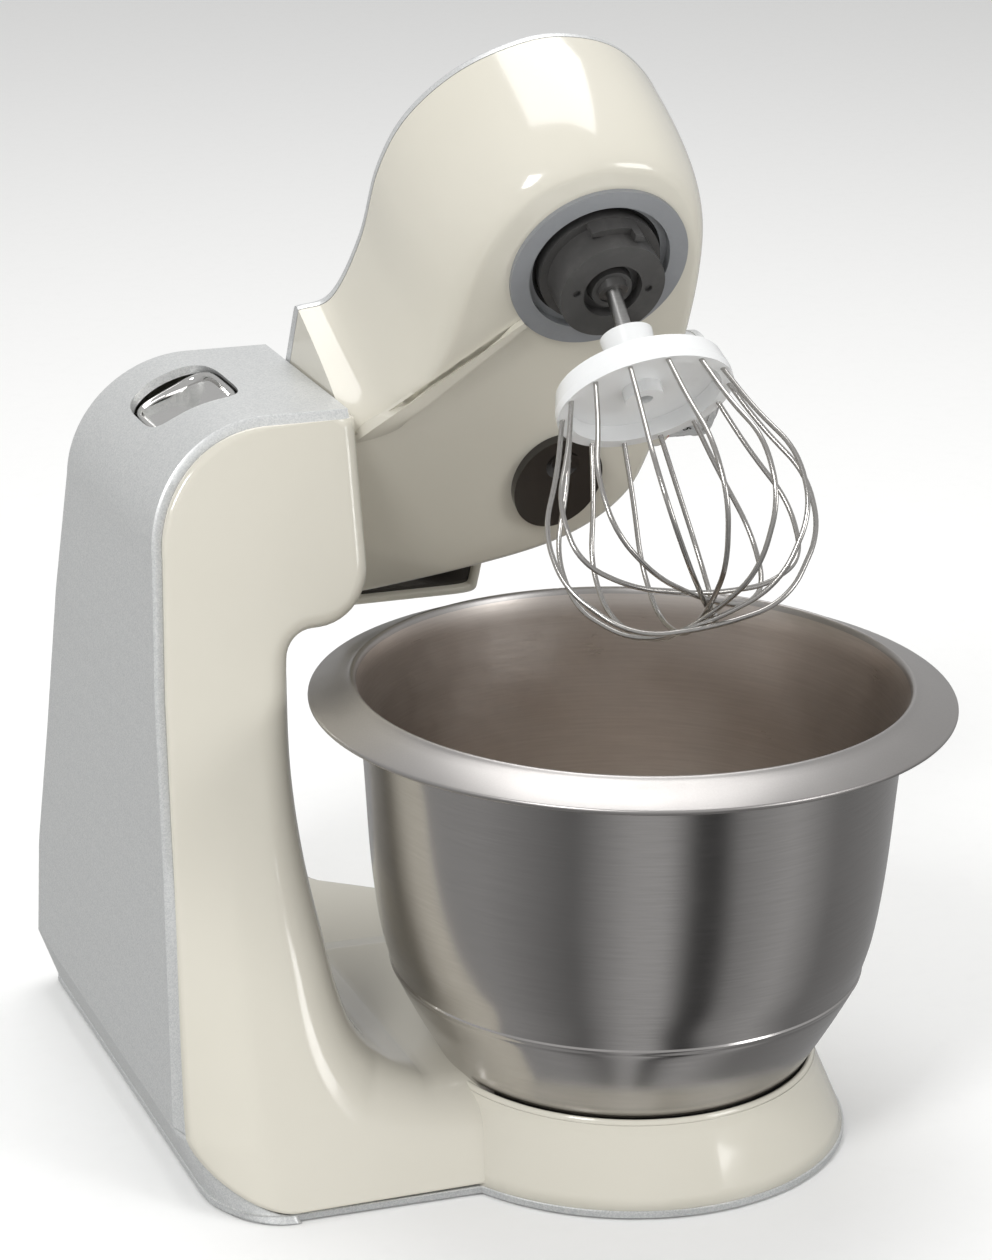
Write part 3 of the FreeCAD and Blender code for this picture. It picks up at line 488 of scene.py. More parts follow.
CREAM = GlossMoulding("gloss_moulded_abs_cream", "#D9D5C9", 0.10)
WHITE = GlossMoulding("gloss_moulded_pom_white", "#F1F2F2", 0.18, second="#E9EAEA")
# This black gloss is the slicer cover's own black and, in the well liner under the arm's root, painted shade.
GLOSS_BLACK_AND_SHADE = GlossMoulding("gloss_moulded_abs_black_and_painted_shade", "#1E1B19", 0.14, second="#272320", ripple=0.03)
RED = GlossMoulding("gloss_moulded_abs_red", "#C23A2C", 0.20, second="#B93226")
SILVER = FlakePaint("sprayed_silver_flake_lacquer", "#E2E3E2", 0.40)
CHROME = WorkedMetal("polished_chrome_plate", "#DEDDDB", 0.06, lay=Lay.NONE, mark_mm=8.0, contrast=0.05,
                     second="#D2D1CF", depth=0.01)
STEEL_SATIN = WorkedMetal("satin_ground_stainless_steel", "#C6C3C1", 0.15, mark_mm=0.7, contrast=0.08,
                          second="#B4B1AF", depth=0.05)
STEEL_BRUSHED = WorkedMetal("brushed_stainless_steel", "#DAD3CD", 0.27, mark_mm=0.9, contrast=0.14,
                            second="#BDB5AE", depth=0.16)
STEEL_FLANGE = WorkedMetal("spun_stainless_steel_rim", "#B5B2B0", 0.32, lay=Lay.NONE, mark_mm=0.6, contrast=0.08,
                           second="#A9A6A4", depth=0.05)
STEEL_WIRE = WorkedMetal("drawn_stainless_wire", "#C9C7C4", 0.14, lay=Lay.NONE, mark_mm=1.2, contrast=0.10,
                         second="#A9A6A2", depth=0.05)
STEEL_TURNED = WorkedMetal("turned_steel", "#B9B8B6", 0.26, mark_mm=0.6, second="#8C8B8A")
CAST = WorkedMetal("die_cast_aluminium", "#B4B6B9", 0.42, lay=Lay.NONE, mark_mm=1.5, contrast=0.15,
                   second="#9B9DA0", depth=0.35)
BRONZE = WorkedMetal("sintered_bronze", "#A8794A", 0.40, lay=Lay.NONE, mark_mm=0.5, second="#7E5831", depth=0.30)
GREY = TexturedMoulding("moulded_pom_grey", "#8C8E91", 0.42, scuff="#A2A4A6", depth=0.10)
CHARCOAL = TexturedMoulding("glass_filled_nylon_charcoal", "#454443", 0.36, scuff="#6B6968")
BLACK = TexturedMoulding("moulded_abs_black", "#1B1918", 0.32, scuff="#333030", depth=0.10)
RUBBER = TexturedMoulding("moulded_rubber_black", "#1C1C1C", 0.70, scuff="#3A3A39", specular=0.3)
BOARD = TexturedMoulding("lacquered_circuit_board", "#1F5A38", 0.35, scuff="#2F7B4D", grain_mm=1.6)
COPPER = WoundLayers("enamelled_copper_winding", "#B5652E", 0.30)
CORE = WoundLayers("laminated_core_steel", "#8A8A8C", 0.40, groove="#3C3C3E")
INK = TexturedMoulding("printed_black_ink", "#1C1A19", 0.50, depth=0.02)
PAPER = TexturedMoulding("matt_white_paper", "#FAFAF9", 0.9, grain_mm=3.0, depth=0.01, scuff="#F2F2F1",
                         specular=0.1)

SLOT_FINISH: dict[str, Finish] = {
    "cream_plastic": CREAM, "silver_paint": SILVER, "chrome_trim": CHROME, "bowl_steel": STEEL_SATIN,
    "plain_steel": STEEL_TURNED, "cast_frame": CAST, "grey_plastic": GREY, "charcoal_plastic": CHARCOAL,
    "black_plastic": BLACK, "white_plastic": WHITE, "red_plastic": RED, "black_rubber": RUBBER,
    "copper_winding": COPPER, "core_steel": CORE, "bronze": BRONZE, "board_green": BOARD,
}
# The black on arm_well is painted shade: the recess under the arm's root is drawn black where it falls into shadow.
NODE_FINISH: dict[str, Finish] = {"whisk_wires": STEEL_WIRE, "slicer_cover": GLOSS_BLACK_AND_SHADE, "arm_well": GLOSS_BLACK_AND_SHADE}


# --------------------------------------------------------------------------
# Tower and base
# --------------------------------------------------------------------------
@dataclass
class TowerForm:
    """The outer skin of the tower and base, as formulas shared by its pieces."""

    seam_y: float = 113.0
    joint_z: float = 24.0
    strip_z: float = 3.5
    top_z: float = 259.5
    wall: float = 3.3
    head_front: float = -84.0
    shoulder_x: float = -115.0
    shoulder_z: float = 214.5
    shoulder_r: float = 45.0
    corner: float = 24.0
    flare_blend: float = 5.0
    deck_start: float = -81.0
    deck_stop: float = 57.0
    deck_z: float = 31.5

    def back_x(self, z: np.ndarray) -> np.ndarray:
        """The back's X at a height below the shoulder: straight runs between four heights."""
        return np.interp(z, [0.0, 24.0, 108.0, 168.0, 214.5], [-162.0, -171.0, -166.3, -163.6, -160.0])

    def near_lean(self, z: np.ndarray) -> np.ndarray:
        """The upper near side, a plane that leans inwards as it rises."""
        return 0.286 * z - 8.9

    def near_y(self, x: np.ndarray, z: np.ndarray) -> np.ndarray:
        """The near side's Y over the side view.

        The lower half flares outwards along a second plane, joined to the upper one by a
        soft minimum. Towards the back it returns to the upper plane over the corner's
        width, along a line between the chord and a quarter ellipse.
        """
        lean = self.near_lean(z)
        flare = 0.587 * z - 41.0
        low = 0.5 * (lean + flare - np.sqrt((lean - flare) ** 2 + self.flare_blend**2))
        share = np.clip((x - self.back_x(z)) / self.corner, 0.0, 1.0)
        bulge = np.sqrt(np.clip(1.0 - (1.0 - share) ** 2, 0.0, 1.0))
        roundness = np.clip(1.0 - 0.55 * z / 30.0, 0.45, 1.0)
        return lean + (low - lean) * (share + (bulge - share) * roundness)

    def far_y(self, x: np.ndarray, z: np.ndarray) -> np.ndarray:
        """The far side's Y: a leaning plane whose lowest back corner is rounded in plan."""
        share = np.clip((x - self.back_x(z)) / self.corner, 0.0, 1.0)
        tuck = 14.0 * np.clip(1.0 - z / 60.0, 0.0, 1.0) * (1.0 - np.sqrt(np.clip(1 - (1 - share) ** 2, 0, 1)))
        return 193.0 - 0.137 * (z - 24.0) - tuck

    def back_outline(self, inset: float) -> tuple[np.ndarray, np.ndarray, np.ndarray]:
        """Top, shoulder and back as (x, z) runs, moved inwards by the inset."""
        top = np.linspace([self.head_front - 4.5, self.top_z - inset], [self.shoulder_x, self.top_z - inset], 10)
        shoulder = arc(self.shoulder_x, self.shoulder_z, self.shoulder_r - inset, 90, 180, 28)
        height = np.linspace(self.shoulder_z, self.joint_z, 46)
        back = np.stack([self.back_x(height) + inset, height], axis=1)
        return top, shoulder, back

    def boundary(self) -> np.ndarray:
        """The cream panel's rear edge: under the band, round the lower corner, along the strip."""
        top, shoulder, back = self.back_outline(self.wall)
        turn = np.radians(np.linspace(0, 90, 16))[1:]
        height = self.joint_z - (self.joint_z - self.strip_z) * np.sin(turn)
        reach = self.wall + (self.corner - self.wall + 1.5) * (1 - np.cos(turn))
        corner = np.stack([self.back_x(height) + reach, height], axis=1)
        strip = np.linspace(corner[-1], [57.0, self.strip_z], 40)[1:]
        return np.concatenate([top, shoulder[1:], back[1:], corner, strip])

    def front(self) -> np.ndarray:
        """The front in side view: head, nose, neck, column, sweep and base deck."""
        face = np.linspace([self.head_front, self.top_z - self.wall], [self.head_front, 226.0], 10)
        nose = np.concatenate([np.linspace([self.head_front, 226.0], [self.head_front, 206.0], 4)[1:-1],
                               arc(-102.0, 206.0, 18.0, 0, -90, 13), arc(-103.6, 176.0, 12.0, 90, 180, 12)])
        column = smooth_curve([(-115.6, 176), (-116.8, 140), (-114.8, 108), (-111.2, 80), (-108.4, 62),
                               (-103.5, 48), (-94.0, 37.5), (self.deck_start, self.deck_z)], 61)[1:]
        deck = np.linspace([self.deck_start, self.deck_z], [self.deck_stop, 30.0], 40)[1:]
        return np.concatenate([face, resample(nose, 27), column, deck])

    def deck_end(self, y: np.ndarray) -> np.ndarray:
        """How far the base deck reaches towards the bowl, at each Y."""
        return np.interp(y, [57, 74, 95, 113, 130, 150, 170, 184, 192], [57, 49, 37, 22, 5, -18, -42, -60, -74])

    def corner_radius(self, height: np.ndarray) -> np.ndarray:
        """How round the near front corner is: crisp on the head, full where it sweeps into the base."""
        return np.interp(height, [30.0, 31.5, 40, 73, 104, 172, 188, 206], [11, 14, 23, 17, 14, 8, 4, 3])


def inward(outline: np.ndarray) -> np.ndarray:
    """Unit vectors into the solid, which lies to the right of the outline's direction."""
    along = np.gradient(outline, axis=0)
    along /= np.linalg.norm(along, axis=1, keepdims=True)
    return np.stack([along[:, 1], -along[:, 0]], axis=1)


@dataclass
class Casing:
    """The two cream halves of the tower and base, with the bowl's stand."""

    form: TowerForm
    side_cells: int = 22
    corner_cells: int = 10
    face_cells: int = 18
    seam_gap: float = 0.15
    far_corner: float = 6.0
    far_deck: float = 21.0
    edge_round: float = 4.0
    skirt_spread: float = 1.5
    wall: float = 2.4
    stand_low: float = 81.0
    stand_top: float = 67.6
    seat_floor: float = 22.5

    def half(self, near: bool) -> np.ndarray:
        """One half as a grid: rows run along the side view, columns from the rear edge to the seam.

        Each row crosses the side panel in a straight line of the side view, turns the
        front corner on a quarter circle and then crosses the front face.
        """
        form = self.form
        rear, front = form.boundary(), form.front()
        heights = front[:, 1]
        deck_length = form.deck_stop - form.deck_start
        radius = form.corner_radius(heights)[:, None] if near else np.full((len(front), 1), self.far_corner)
        side_y = form.near_y if near else form.far_y
        sign = 1.0 if near else -1.0
        if not near:
            front = front.copy()
            deck = front[:, 0] > form.deck_start
            front[deck, 0] = form.deck_start + (front[deck, 0] - form.deck_start) * (self.far_deck / deck_length)
            rear = rear.copy()
            strip = rear[:, 1] <= form.strip_z + 1e-6
            rear[strip, 0] = np.linspace(rear[strip, 0][0], form.deck_start + self.far_deck, strip.sum())
        edge = front + inward(front) * radius
        share = np.linspace(0, 1, self.side_cells)[None, :, None]
        panel = rear[:, None] * (1 - share) + edge[:, None] * share
        panel_y = side_y(panel[..., 0], panel[..., 1])
        turn = np.radians(np.linspace(0, 90, self.corner_cells))[1:]
        corner = front[:, None] + (edge - front)[:, None] * (1 - np.sin(turn))[None, :, None]
        corner_y = side_y(corner[..., 0], corner[..., 1]) + sign * radius * (1 - np.cos(turn))
        seam = form.seam_y - sign * self.seam_gap
        across = np.linspace(0, 1, self.face_cells)[1:]
        face_y = corner_y[:, -1:] + (seam - corner_y[:, -1:]) * across
        face = np.repeat(front[:, None], len(across), axis=1)
        progress = np.clip((form.front()[:, 0] - form.deck_start) / deck_length, 0, 1)
        progress = progress * (form.front()[:, 1] <= form.deck_z)
        reach = form.deck_start + progress[:, None] * (form.deck_end(face_y) - form.deck_start)
        on_deck = progress[:, None] > 0
        face[..., 0] = np.where(on_deck, reach, face[..., 0])
        flat = np.concatenate([panel, corner, face], axis=1)
        depth = np.concatenate([panel_y, corner_y, face_y], axis=1)
        grid = np.stack([flat[..., 0], depth, flat[..., 1]], axis=2)
        return np.concatenate([grid, self.skirt(grid)])

    def skirt(self, grid: np.ndarray) -> np.ndarray:
        """The deck's outer edge, rounded over and dropped to the strip."""
        last = grid[-1]
        rows = []
        for turn in np.radians(np.linspace(15, 90, 6)):
            row = last.copy()
            row[:, 0] += self.edge_round * math.sin(turn)
            row[:, 2] = np.minimum(row[:, 2], last[:, 2] - self.edge_round * (1 - math.cos(turn)))
            rows.append(row)
        row = rows[-1].copy()
        row[:, 0] += self.skirt_spread
        row[:, 2] = self.form.strip_z
        rows.append(row)
        return np.array(rows)

    def stand(self) -> np.ndarray:
        """The bowl's stand: a steep cone with a rounded lip and a recess for the bowl."""
        profile = [(self.stand_low, self.form.strip_z), (79.2, 8.0), (74.6, 18.5), (71.0, 26.6)]
        lip = smooth_curve([(71.0, 26.6), (70.4, 28.4), (69.8, 31.0), (69.2, 32.2), (68.6, 32.5), (68.0, 32.3)], 14)
        inner = [(self.stand_top, 31.5), (self.stand_top, self.seat_floor), (30.0, self.seat_floor)]
        return revolved(np.concatenate([profile, lip[1:], inner]), 180)

    def build(self) -> None:
        """Makes both casing halves."""
        near = Piece("casing_near_shell").grid(self.half(True))
        near_piece = near.build(40.0)
        thicken(near_piece, self.wall)
        fitted(near_piece, "base", CREAM, "cream_plastic", "casing_near")
        stand = Piece("bowl_stand").grid(self.stand(), wrap=True).build(40.0)
        thicken(stand, self.wall)
        fitted(stand, "base", CREAM, "cream_plastic", "casing_near")
        far = Piece("casing_far_shell").grid(self.half(False)).build(40.0)
        thicken(far, self.wall)
        fitted(far, "base", CREAM, "cream_plastic", "casing_far")


@dataclass
class Band:
    """The silver band over the back, shoulder and top, and the silver tub below it."""

    form: TowerForm
    bevel: float = 0.7
    joint_gap: float = 0.25

    def section(self, outer: np.ndarray, inner: np.ndarray) -> np.ndarray:
        """Closed bevelled sections between an outer and an inner outline, from edge to edge.

        Each row is one section: the outer face, both edges, which follow the side
        panels' surface, and the inner face.
        """
        form = self.form
        middle = np.linspace(0, 1, 14)
        step = (inner - outer) / np.linalg.norm(inner - outer, axis=1, keepdims=True) * self.bevel
        near = form.near_lean(outer[:, 1])
        far = form.far_y(outer[:, 0], outer[:, 1])
        near_in = form.near_y(inner[:, 0], inner[:, 1])
        far_in = form.far_y(inner[:, 0], inner[:, 1])
        columns = []
        for share in middle:
            y = near + self.bevel + (far - near - 2 * self.bevel) * share
            columns.append(np.stack([outer[:, 0], y, outer[:, 1]], axis=1))
        for y, y_in in ((far, far_in), (near, near_in)):
            below = outer + step
            pair = [np.stack([below[:, 0], y, below[:, 1]], axis=1),
                    np.stack([inner[:, 0], y_in, inner[:, 1]], axis=1)]
            columns.extend(pair if y is far else pair[::-1])
        return np.stack(columns, axis=1)

    def band(self) -> np.ndarray:
        """The band's sections, from the head's front edge down to the joint with the tub."""
        outer = np.concatenate(self.form.back_outline(0.0))
        inner = np.concatenate(self.form.back_outline(self.form.wall))
        outer[0, 0] = inner[0, 0] = self.form.head_front
        outer[-1, 1] = inner[-1, 1] = self.form.joint_z + self.joint_gap
        return self.section(outer, inner)

    def tub(self) -> np.ndarray:
        """The tub's wall: rows climb from the worktop side to a top edge that falls round the corners.

        Columns run from the near side, round the near corner, along the back and round
        the far corner. The top edge follows the cream panel's lower rear edge.
        """
        form = self.form
        turn = np.radians(np.linspace(90, 0, 18))
        near_top = form.joint_z - (form.joint_z - form.strip_z) * np.sin(turn)
        near_reach = form.wall + (form.corner - form.wall + 1.5) * (1 - np.cos(turn))
        reach = np.concatenate([near_reach, [form.wall * 0.5, 0.0]])
        top = np.concatenate([near_top, [form.joint_z, form.joint_z]]) - self.joint_gap
        level = np.linspace(0, 1, 12)[:, None]
        z = 0.6 + (top[None, :] - 0.6) * level
        x = form.back_x(z) + reach[None, :]
        near = np.stack([x, form.near_y(x, z), z], axis=2)
        near[:, -1, 1] = form.near_lean(z[:, -1])
        far = np.stack([x, form.far_y(x, z), z], axis=2)[:, ::-1]
        share = np.linspace(0, 1, 22)[1:-1][None, :, None]
        back = near[:, -1:] * (1 - share) + far[:, :1] * share
        wall = np.concatenate([near, back, far], axis=1)
        return wall

    def build(self) -> None:
        """Makes the band with its button opening, and the tub."""
        band = Piece("silver_band")
        sections = self.band()
        band.tube(sections)
        piece = band.build(30.0)
        cut_out(piece, Button().opening())
        piece.data.set_sharp_from_angle(angle=math.radians(30.0))
        fitted(piece, "base", SILVER, "silver_paint", "tower_band")
        tub = Piece("silver_tub").grid(self.tub()).build(30.0)
        thicken(tub, 2.5)
        fitted(tub, "base", SILVER, "silver_paint", "lower_tub")


@dataclass
class BaseStrip:
    """The silver foot strip that shows as a thin line under the casing."""

    form: TowerForm
    stand_r: float = 81.2
    low: float = 0.8
    proud: float = 0.3

    def outline(self) -> np.ndarray:
        """The strip's plan: near edge, stand, deck end, far edge and back, as one loop of (x, y)."""
        form = self.form
        kink = 41.0
        start = math.degrees(math.asin(-kink / self.stand_r))
        angle = np.radians(np.linspace(-180 - start, 42.0, 90))
        stand = self.stand_r * np.stack([np.cos(angle), np.sin(angle)], axis=1)
        y = np.linspace(62.0, 184.0, 24)
        deck = np.stack([form.deck_end(y) + 5.6, y], axis=1)
        z = np.full(16, form.strip_z)
        reach = form.corner * (1 - np.cos(np.radians(np.linspace(90, 0, 16))))
        far_x = form.back_x(z) + reach
        far = np.stack([far_x, form.far_y(far_x, z)], axis=1)
        near_x = far_x[::-1]
        near = np.stack([near_x, form.near_y(near_x, z)], axis=1)
        return np.concatenate([stand, deck, far, near])

    def build(self) -> None:
        """Makes the strip with a bevelled upper edge and a closed underside."""
        plan = resample(np.vstack([self.outline(), self.outline()[:1]]), 321)[:-1]
        centre = np.array([-50.0, 70.0])
        rows = []
        for inset, z in ((3.0, self.low), (0.4, self.low), (0.0, self.low + 0.4), (0.0, self.form.strip_z - 0.3),
                         (0.4, self.form.strip_z), (3.0, self.form.strip_z)):
            shrunk = plan + (centre - plan) * (inset - self.proud) / 110.0
            rows.append(np.column_stack([shrunk, np.full(len(shrunk), z)]))
        piece = Piece("foot_strip").tube(np.array(rows)).build(30.0)
        fitted(piece, "base", SILVER, "silver_paint", "base_plate")


@dataclass
class Button:
    """The chrome release button in its sloping seat on the shoulder."""

    slope: float = 23.4
    centre: tuple[float, float, float] = (-128.0, 117.0, 250.6)
    half_x: float = 16.6
    half_y: float = 21.0
    power: float = 4.2

    def seated(self, points: np.ndarray) -> np.ndarray:
        """Points drawn flat at the origin, tilted up the slope and moved to the seat."""
        cosine, sine = math.cos(math.radians(self.slope)), math.sin(math.radians(self.slope))
        x = points[..., 0] * cosine - points[..., 2] * sine
        z = points[..., 0] * sine + points[..., 2] * cosine
        place = np.array(self.centre)
        return np.stack([x + place[0], points[..., 1] + place[1], z + place[2]], axis=-1)

    def ring(self, grow: float, z: float) -> np.ndarray:
        """The button's outline, a rounded rectangle wider at its upper end, grown by some millimetres."""
        plan = superellipse(self.half_x + grow, self.half_y + grow, self.power, 96)
        taper = 1.0 + 0.09 * plan[:, 0] / self.half_x
        return np.column_stack([plan[:, 0], plan[:, 1] * taper, np.full(len(plan), z)])

    def opening(self) -> bpy.types.Object:
        """The volume that the button's seat takes out of the band."""
        rings = np.array([self.seated(self.ring(1.1, z)) for z in (-9.0, 9.0)])
        return Piece("button_opening").tube(rings).build()

    def dish(self, ring: np.ndarray) -> np.ndarray:
        """Sinks a ring into the finger hollow: deepest towards the upper end, where it ends in a step."""
        along = ring[:, 0] / self.half_x
        hollow = 2.6 * np.exp(-((along - 0.42) / 0.42) ** 2)
        across = np.clip(1 - (np.abs(ring[:, 1]) / (self.half_y * 1.02)) ** 4, 0, 1)
        out = ring.copy()
        out[:, 2] -= hollow * across
        return out

    def build(self) -> None:
        """Makes the chrome button with its raised rim, and the dark seat round it."""
        rows = [self.ring(-0.4, -4.0), self.ring(0.0, -3.0), self.ring(0.0, 0.9), self.ring(-0.35, 1.6),
                self.ring(-1.0, 1.9), self.ring(-1.7, 1.7), self.ring(-2.2, 1.0)]
        inner = []
        for share in np.linspace(0.0, 1.0, 15)[:-1]:
            ring = self.ring(-2.6, 0.7)
            ring[:, :2] *= 1 - share
            inner.append(self.dish(ring))
        rings = np.array([self.seated(row) for row in rows + inner])
        fitted(Piece("chrome_button").tube(rings).build(50.0), "button", CHROME, "chrome_trim", "release_button")
        seat = [self.ring(2.6, -3.0), self.ring(1.05, -3.0), self.ring(1.05, 0.4), self.ring(0.75, 0.4),
                self.ring(0.75, -6.0), self.ring(2.6, -6.0), self.ring(2.6, -3.0)]
        rings = np.array([self.seated(row) for row in seat])
        fitted(Piece("button_seat").grid(rings, wrap=True).build(30.0), "base", BLACK, "silver_paint",
               "button_frame")


# --------------------------------------------------------------------------
# Arm
# --------------------------------------------------------------------------
@dataclass
class ArmForm:
    """The arm's outlines with the arm lowered, and its turn up about the hinge."""

    hinge_y: float = 112.0
    hinge_z: float = 220.5
    lift: float = 65.5
    under: float = 193.0
    edge: float = 256.0
    root_x: float = -83.2
    ring_r: float = 33.0
    plan_top: tuple = ((-83.2, 61.5), (-71, 56.5), (-63.8, 31), (-61.6, 0), (-54, -22.5), (-37, -41),
                       (-13.7, -51.8), (5, -52.2), (22, -46), (37, -32), (46, -15), (49.5, 8), (50, 34),
                       (49.5, 62), (47.5, 92), (39.5, 119), (19, 139.5), (-22, 150), (-83.2, 158))
    plan_low: tuple = ((-83.2, 71), (-63, 63), (-50, 36), (-45, 4), (-40, -15), (-29, -31), (-11, -39),
                       (5, -39), (18, -35), (29, -23), (35, -8), (38, 10), (39, 30), (38.5, 56), (36.5, 86),
                       (30, 110), (9, 127), (-27, 137.5), (-83.2, 147))

    def raised(self, points: np.ndarray) -> np.ndarray:
        """Points of the lowered arm, moved to where the arm stands."""
        return turned_x(points, -self.lift, self.hinge_y, self.hinge_z)

    def outline(self, spread: float, height: float, inset: float = 0.0, samples: int = 240) -> np.ndarray:
        """The arm's outline at a height.

        Args:
            spread: 0 is the edge of the underside, 1 the edge of the top.
            height: The outline's Z.
            inset: How far the outline is drawn in towards the arm's middle.
            samples: Points along the outline.

        Returns:
            A loop of points from the near root corner round to the far one and back along the root.
        """
        low = smooth_curve(self.plan_low, samples)
        top = smooth_curve(self.plan_top, samples)
        plan = low + (top - low) * spread
        along = np.gradient(plan, axis=0)
        normal = np.stack([-along[:, 1], along[:, 0]], axis=1) / np.linalg.norm(along, axis=1, keepdims=True)
        plan = plan + normal * inset
        plan[:, 0] = np.maximum(plan[:, 0], self.root_x)
        plan[[0, -1], 0] = self.root_x
        root = np.linspace(plan[-1], plan[0], 42)[1:-1]
        plan = np.concatenate([plan, root])
        return np.column_stack([plan, np.full(len(plan), height)])


@dataclass
class ArmShell:
    """The arm's cream lower housing and its silver top cover."""

    form: ArmForm
    levels: int = 40
    wall: float = 2.6
    window: tuple[float, float, float, float] = (-73.0, -19.0, 145.5, 157.0)
    well_lip: float = 201.0
    well_roof: float = 215.0
    knob_y: float = 86.0
    knob_z: float = 225.0
    knob_hole_r: float = 22.4

    def spread(self, level: np.ndarray) -> np.ndarray:
        """How far the outline has opened at each level: a quarter of a superellipse."""
        return np.sqrt(1 - (1 - level) ** 2.2)

    def housing(self) -> np.ndarray:
        """Rings of the lower housing, from the drive opening across the underside and up the side."""
        form = self.form
        turn = np.linspace(0, 1, self.levels) ** 1.6
        side = [form.outline(s, form.under + (form.edge - form.under) * t)
                for s, t in zip(self.spread(turn), turn)]
        low = side[0]
        angle = np.arctan2(low[:, 1], low[:, 0])
        hole = np.column_stack([form.ring_r * np.cos(angle), form.ring_r * np.sin(angle),
                                np.full(len(low), form.under)])
        share = np.linspace(0, 1, 10)[:-1, None, None]
        under = hole[None] * (1 - share) + low[None] * share
        return np.concatenate([under, np.array(side)])

    def cover(self) -> np.ndarray:
        """Rings of the top cover: a short upright edge, a round and a gently crowned top."""
        form = self.form
        rows = [form.outline(1.0, form.edge + 0.25, 1.8), form.outline(1.0, form.edge + 0.25, -0.1)]
        for turn in np.radians(np.linspace(0, 90, 8)):
            height = form.edge + 1.6 + 3.0 * math.sin(turn)
            rows.append(form.outline(1.0, height, -0.1 + 3.0 * (1 - math.cos(turn))))
        rim = rows[-1]
        centre = np.array([-12.0, 62.0, 0.0])
        for share in np.linspace(0, 1, 12)[1:]:
            row = rim + (centre - rim) * share
            row[:, 2] = form.edge + 4.6 + 1.4 * (1 - (1 - share) ** 2)
            rows.append(row)
        return np.array(rows)

    def build(self) -> None:
        """Makes the housing, its window and the cover."""
        form = self.form
        housing = Piece("arm_housing").grid(form.raised(self.housing()), wrap=True).build(35.0)
        thicken(housing, self.wall)
        baked(housing)
        cut_out(housing, self.window_block())
        cut_out(housing, self.knob_block())
        housing.data.polygons.foreach_set("use_smooth", [True] * len(housing.data.polygons))
        housing.data.set_sharp_from_angle(angle=math.radians(35.0))
        fitted(housing, "arm", CREAM, "cream_plastic", "arm_lower_housing")
        cover = Piece("arm_silver_cover").grid(form.raised(self.cover()), wrap=True)
        fitted(cover.build(30.0), "arm", SILVER, "silver_paint", "arm_top_cover")
        self.well()

    def window_block(self) -> bpy.types.Object:
        """The volume of the well under the root, whose black liner is painted shade."""
        x0, x1, y0, y1 = self.window
        plan = superellipse((x1 - x0) / 2, (y1 - y0) / 2, 9.0, 48) + [(x0 + x1) / 2, (y0 + y1) / 2]
        rings = [np.column_stack([plan, np.full(len(plan), z)]) for z in (180.0, self.well_roof + 4.0)]
        return Piece("window_block").tube(self.form.raised(np.array(rings))).build()

    def knob_block(self) -> bpy.types.Object:
        """The round hole that the speed knob's collar fills."""
        plan = superellipse(self.knob_hole_r, self.knob_hole_r, 2.0, 72)
        rings = [np.column_stack([np.full(len(plan), x), plan[:, 0] + self.knob_y, plan[:, 1] + self.knob_z])
                 for x in (40.5, 90.0)]
        return Piece("knob_block").tube(self.form.raised(np.array(rings))).build()

    def well_ring(self, grow: float, height: float) -> np.ndarray:
        """The well's rounded outline, grown by some millimetres, at a height."""
        x0, x1, y0, y1 = self.window
        plan = superellipse((x1 - x0) / 2 + grow, (y1 - y0) / 2 + grow, 9.0, 120)
        return np.column_stack([plan + [(x0 + x1) / 2, (y0 + y1) / 2], np.full(len(plan), height)])

    def well(self) -> None:
        """Makes the well's black liner, which is painted shade in the recess, and the cream lip that stands round
        it.
        """
        form, lip, roof = self.form, self.well_lip, self.well_roof
        rows = [self.well_ring(0.05, roof + 3.5), self.well_ring(3.4, roof + 3.5), self.well_ring(3.5, lip + 1.2),
                self.well_ring(3.1, lip + 0.4), self.well_ring(2.3, lip), self.well_ring(1.2, lip),
                self.well_ring(0.4, lip + 0.4), self.well_ring(0.05, lip + 1.2), self.well_ring(0.05, roof + 3.5)]
        piece = Piece("well_lip").grid(form.raised(np.array(rows)), wrap=True).build(40.0)
        fitted(piece, "arm", CREAM, "cream_plastic", "arm_well")
        # The liner is painted shade: black put in the recess under the root, where the groove falls into shadow.
        rows = [self.well_ring(-share * 6.0, roof) for share in (1.0, 0.5, 0.0)]
        rows += [self.well_ring(0.0, z) for z in (roof - 1.0, roof - 5.0, lip + 2.4)]
        piece = Piece("well_painted_shade_liner").tube(form.raised(np.array(rows)[:, ::-1]))
        fitted(piece.build(40.0), "arm", GLOSS_BLACK_AND_SHADE, "black_plastic", "arm_well")


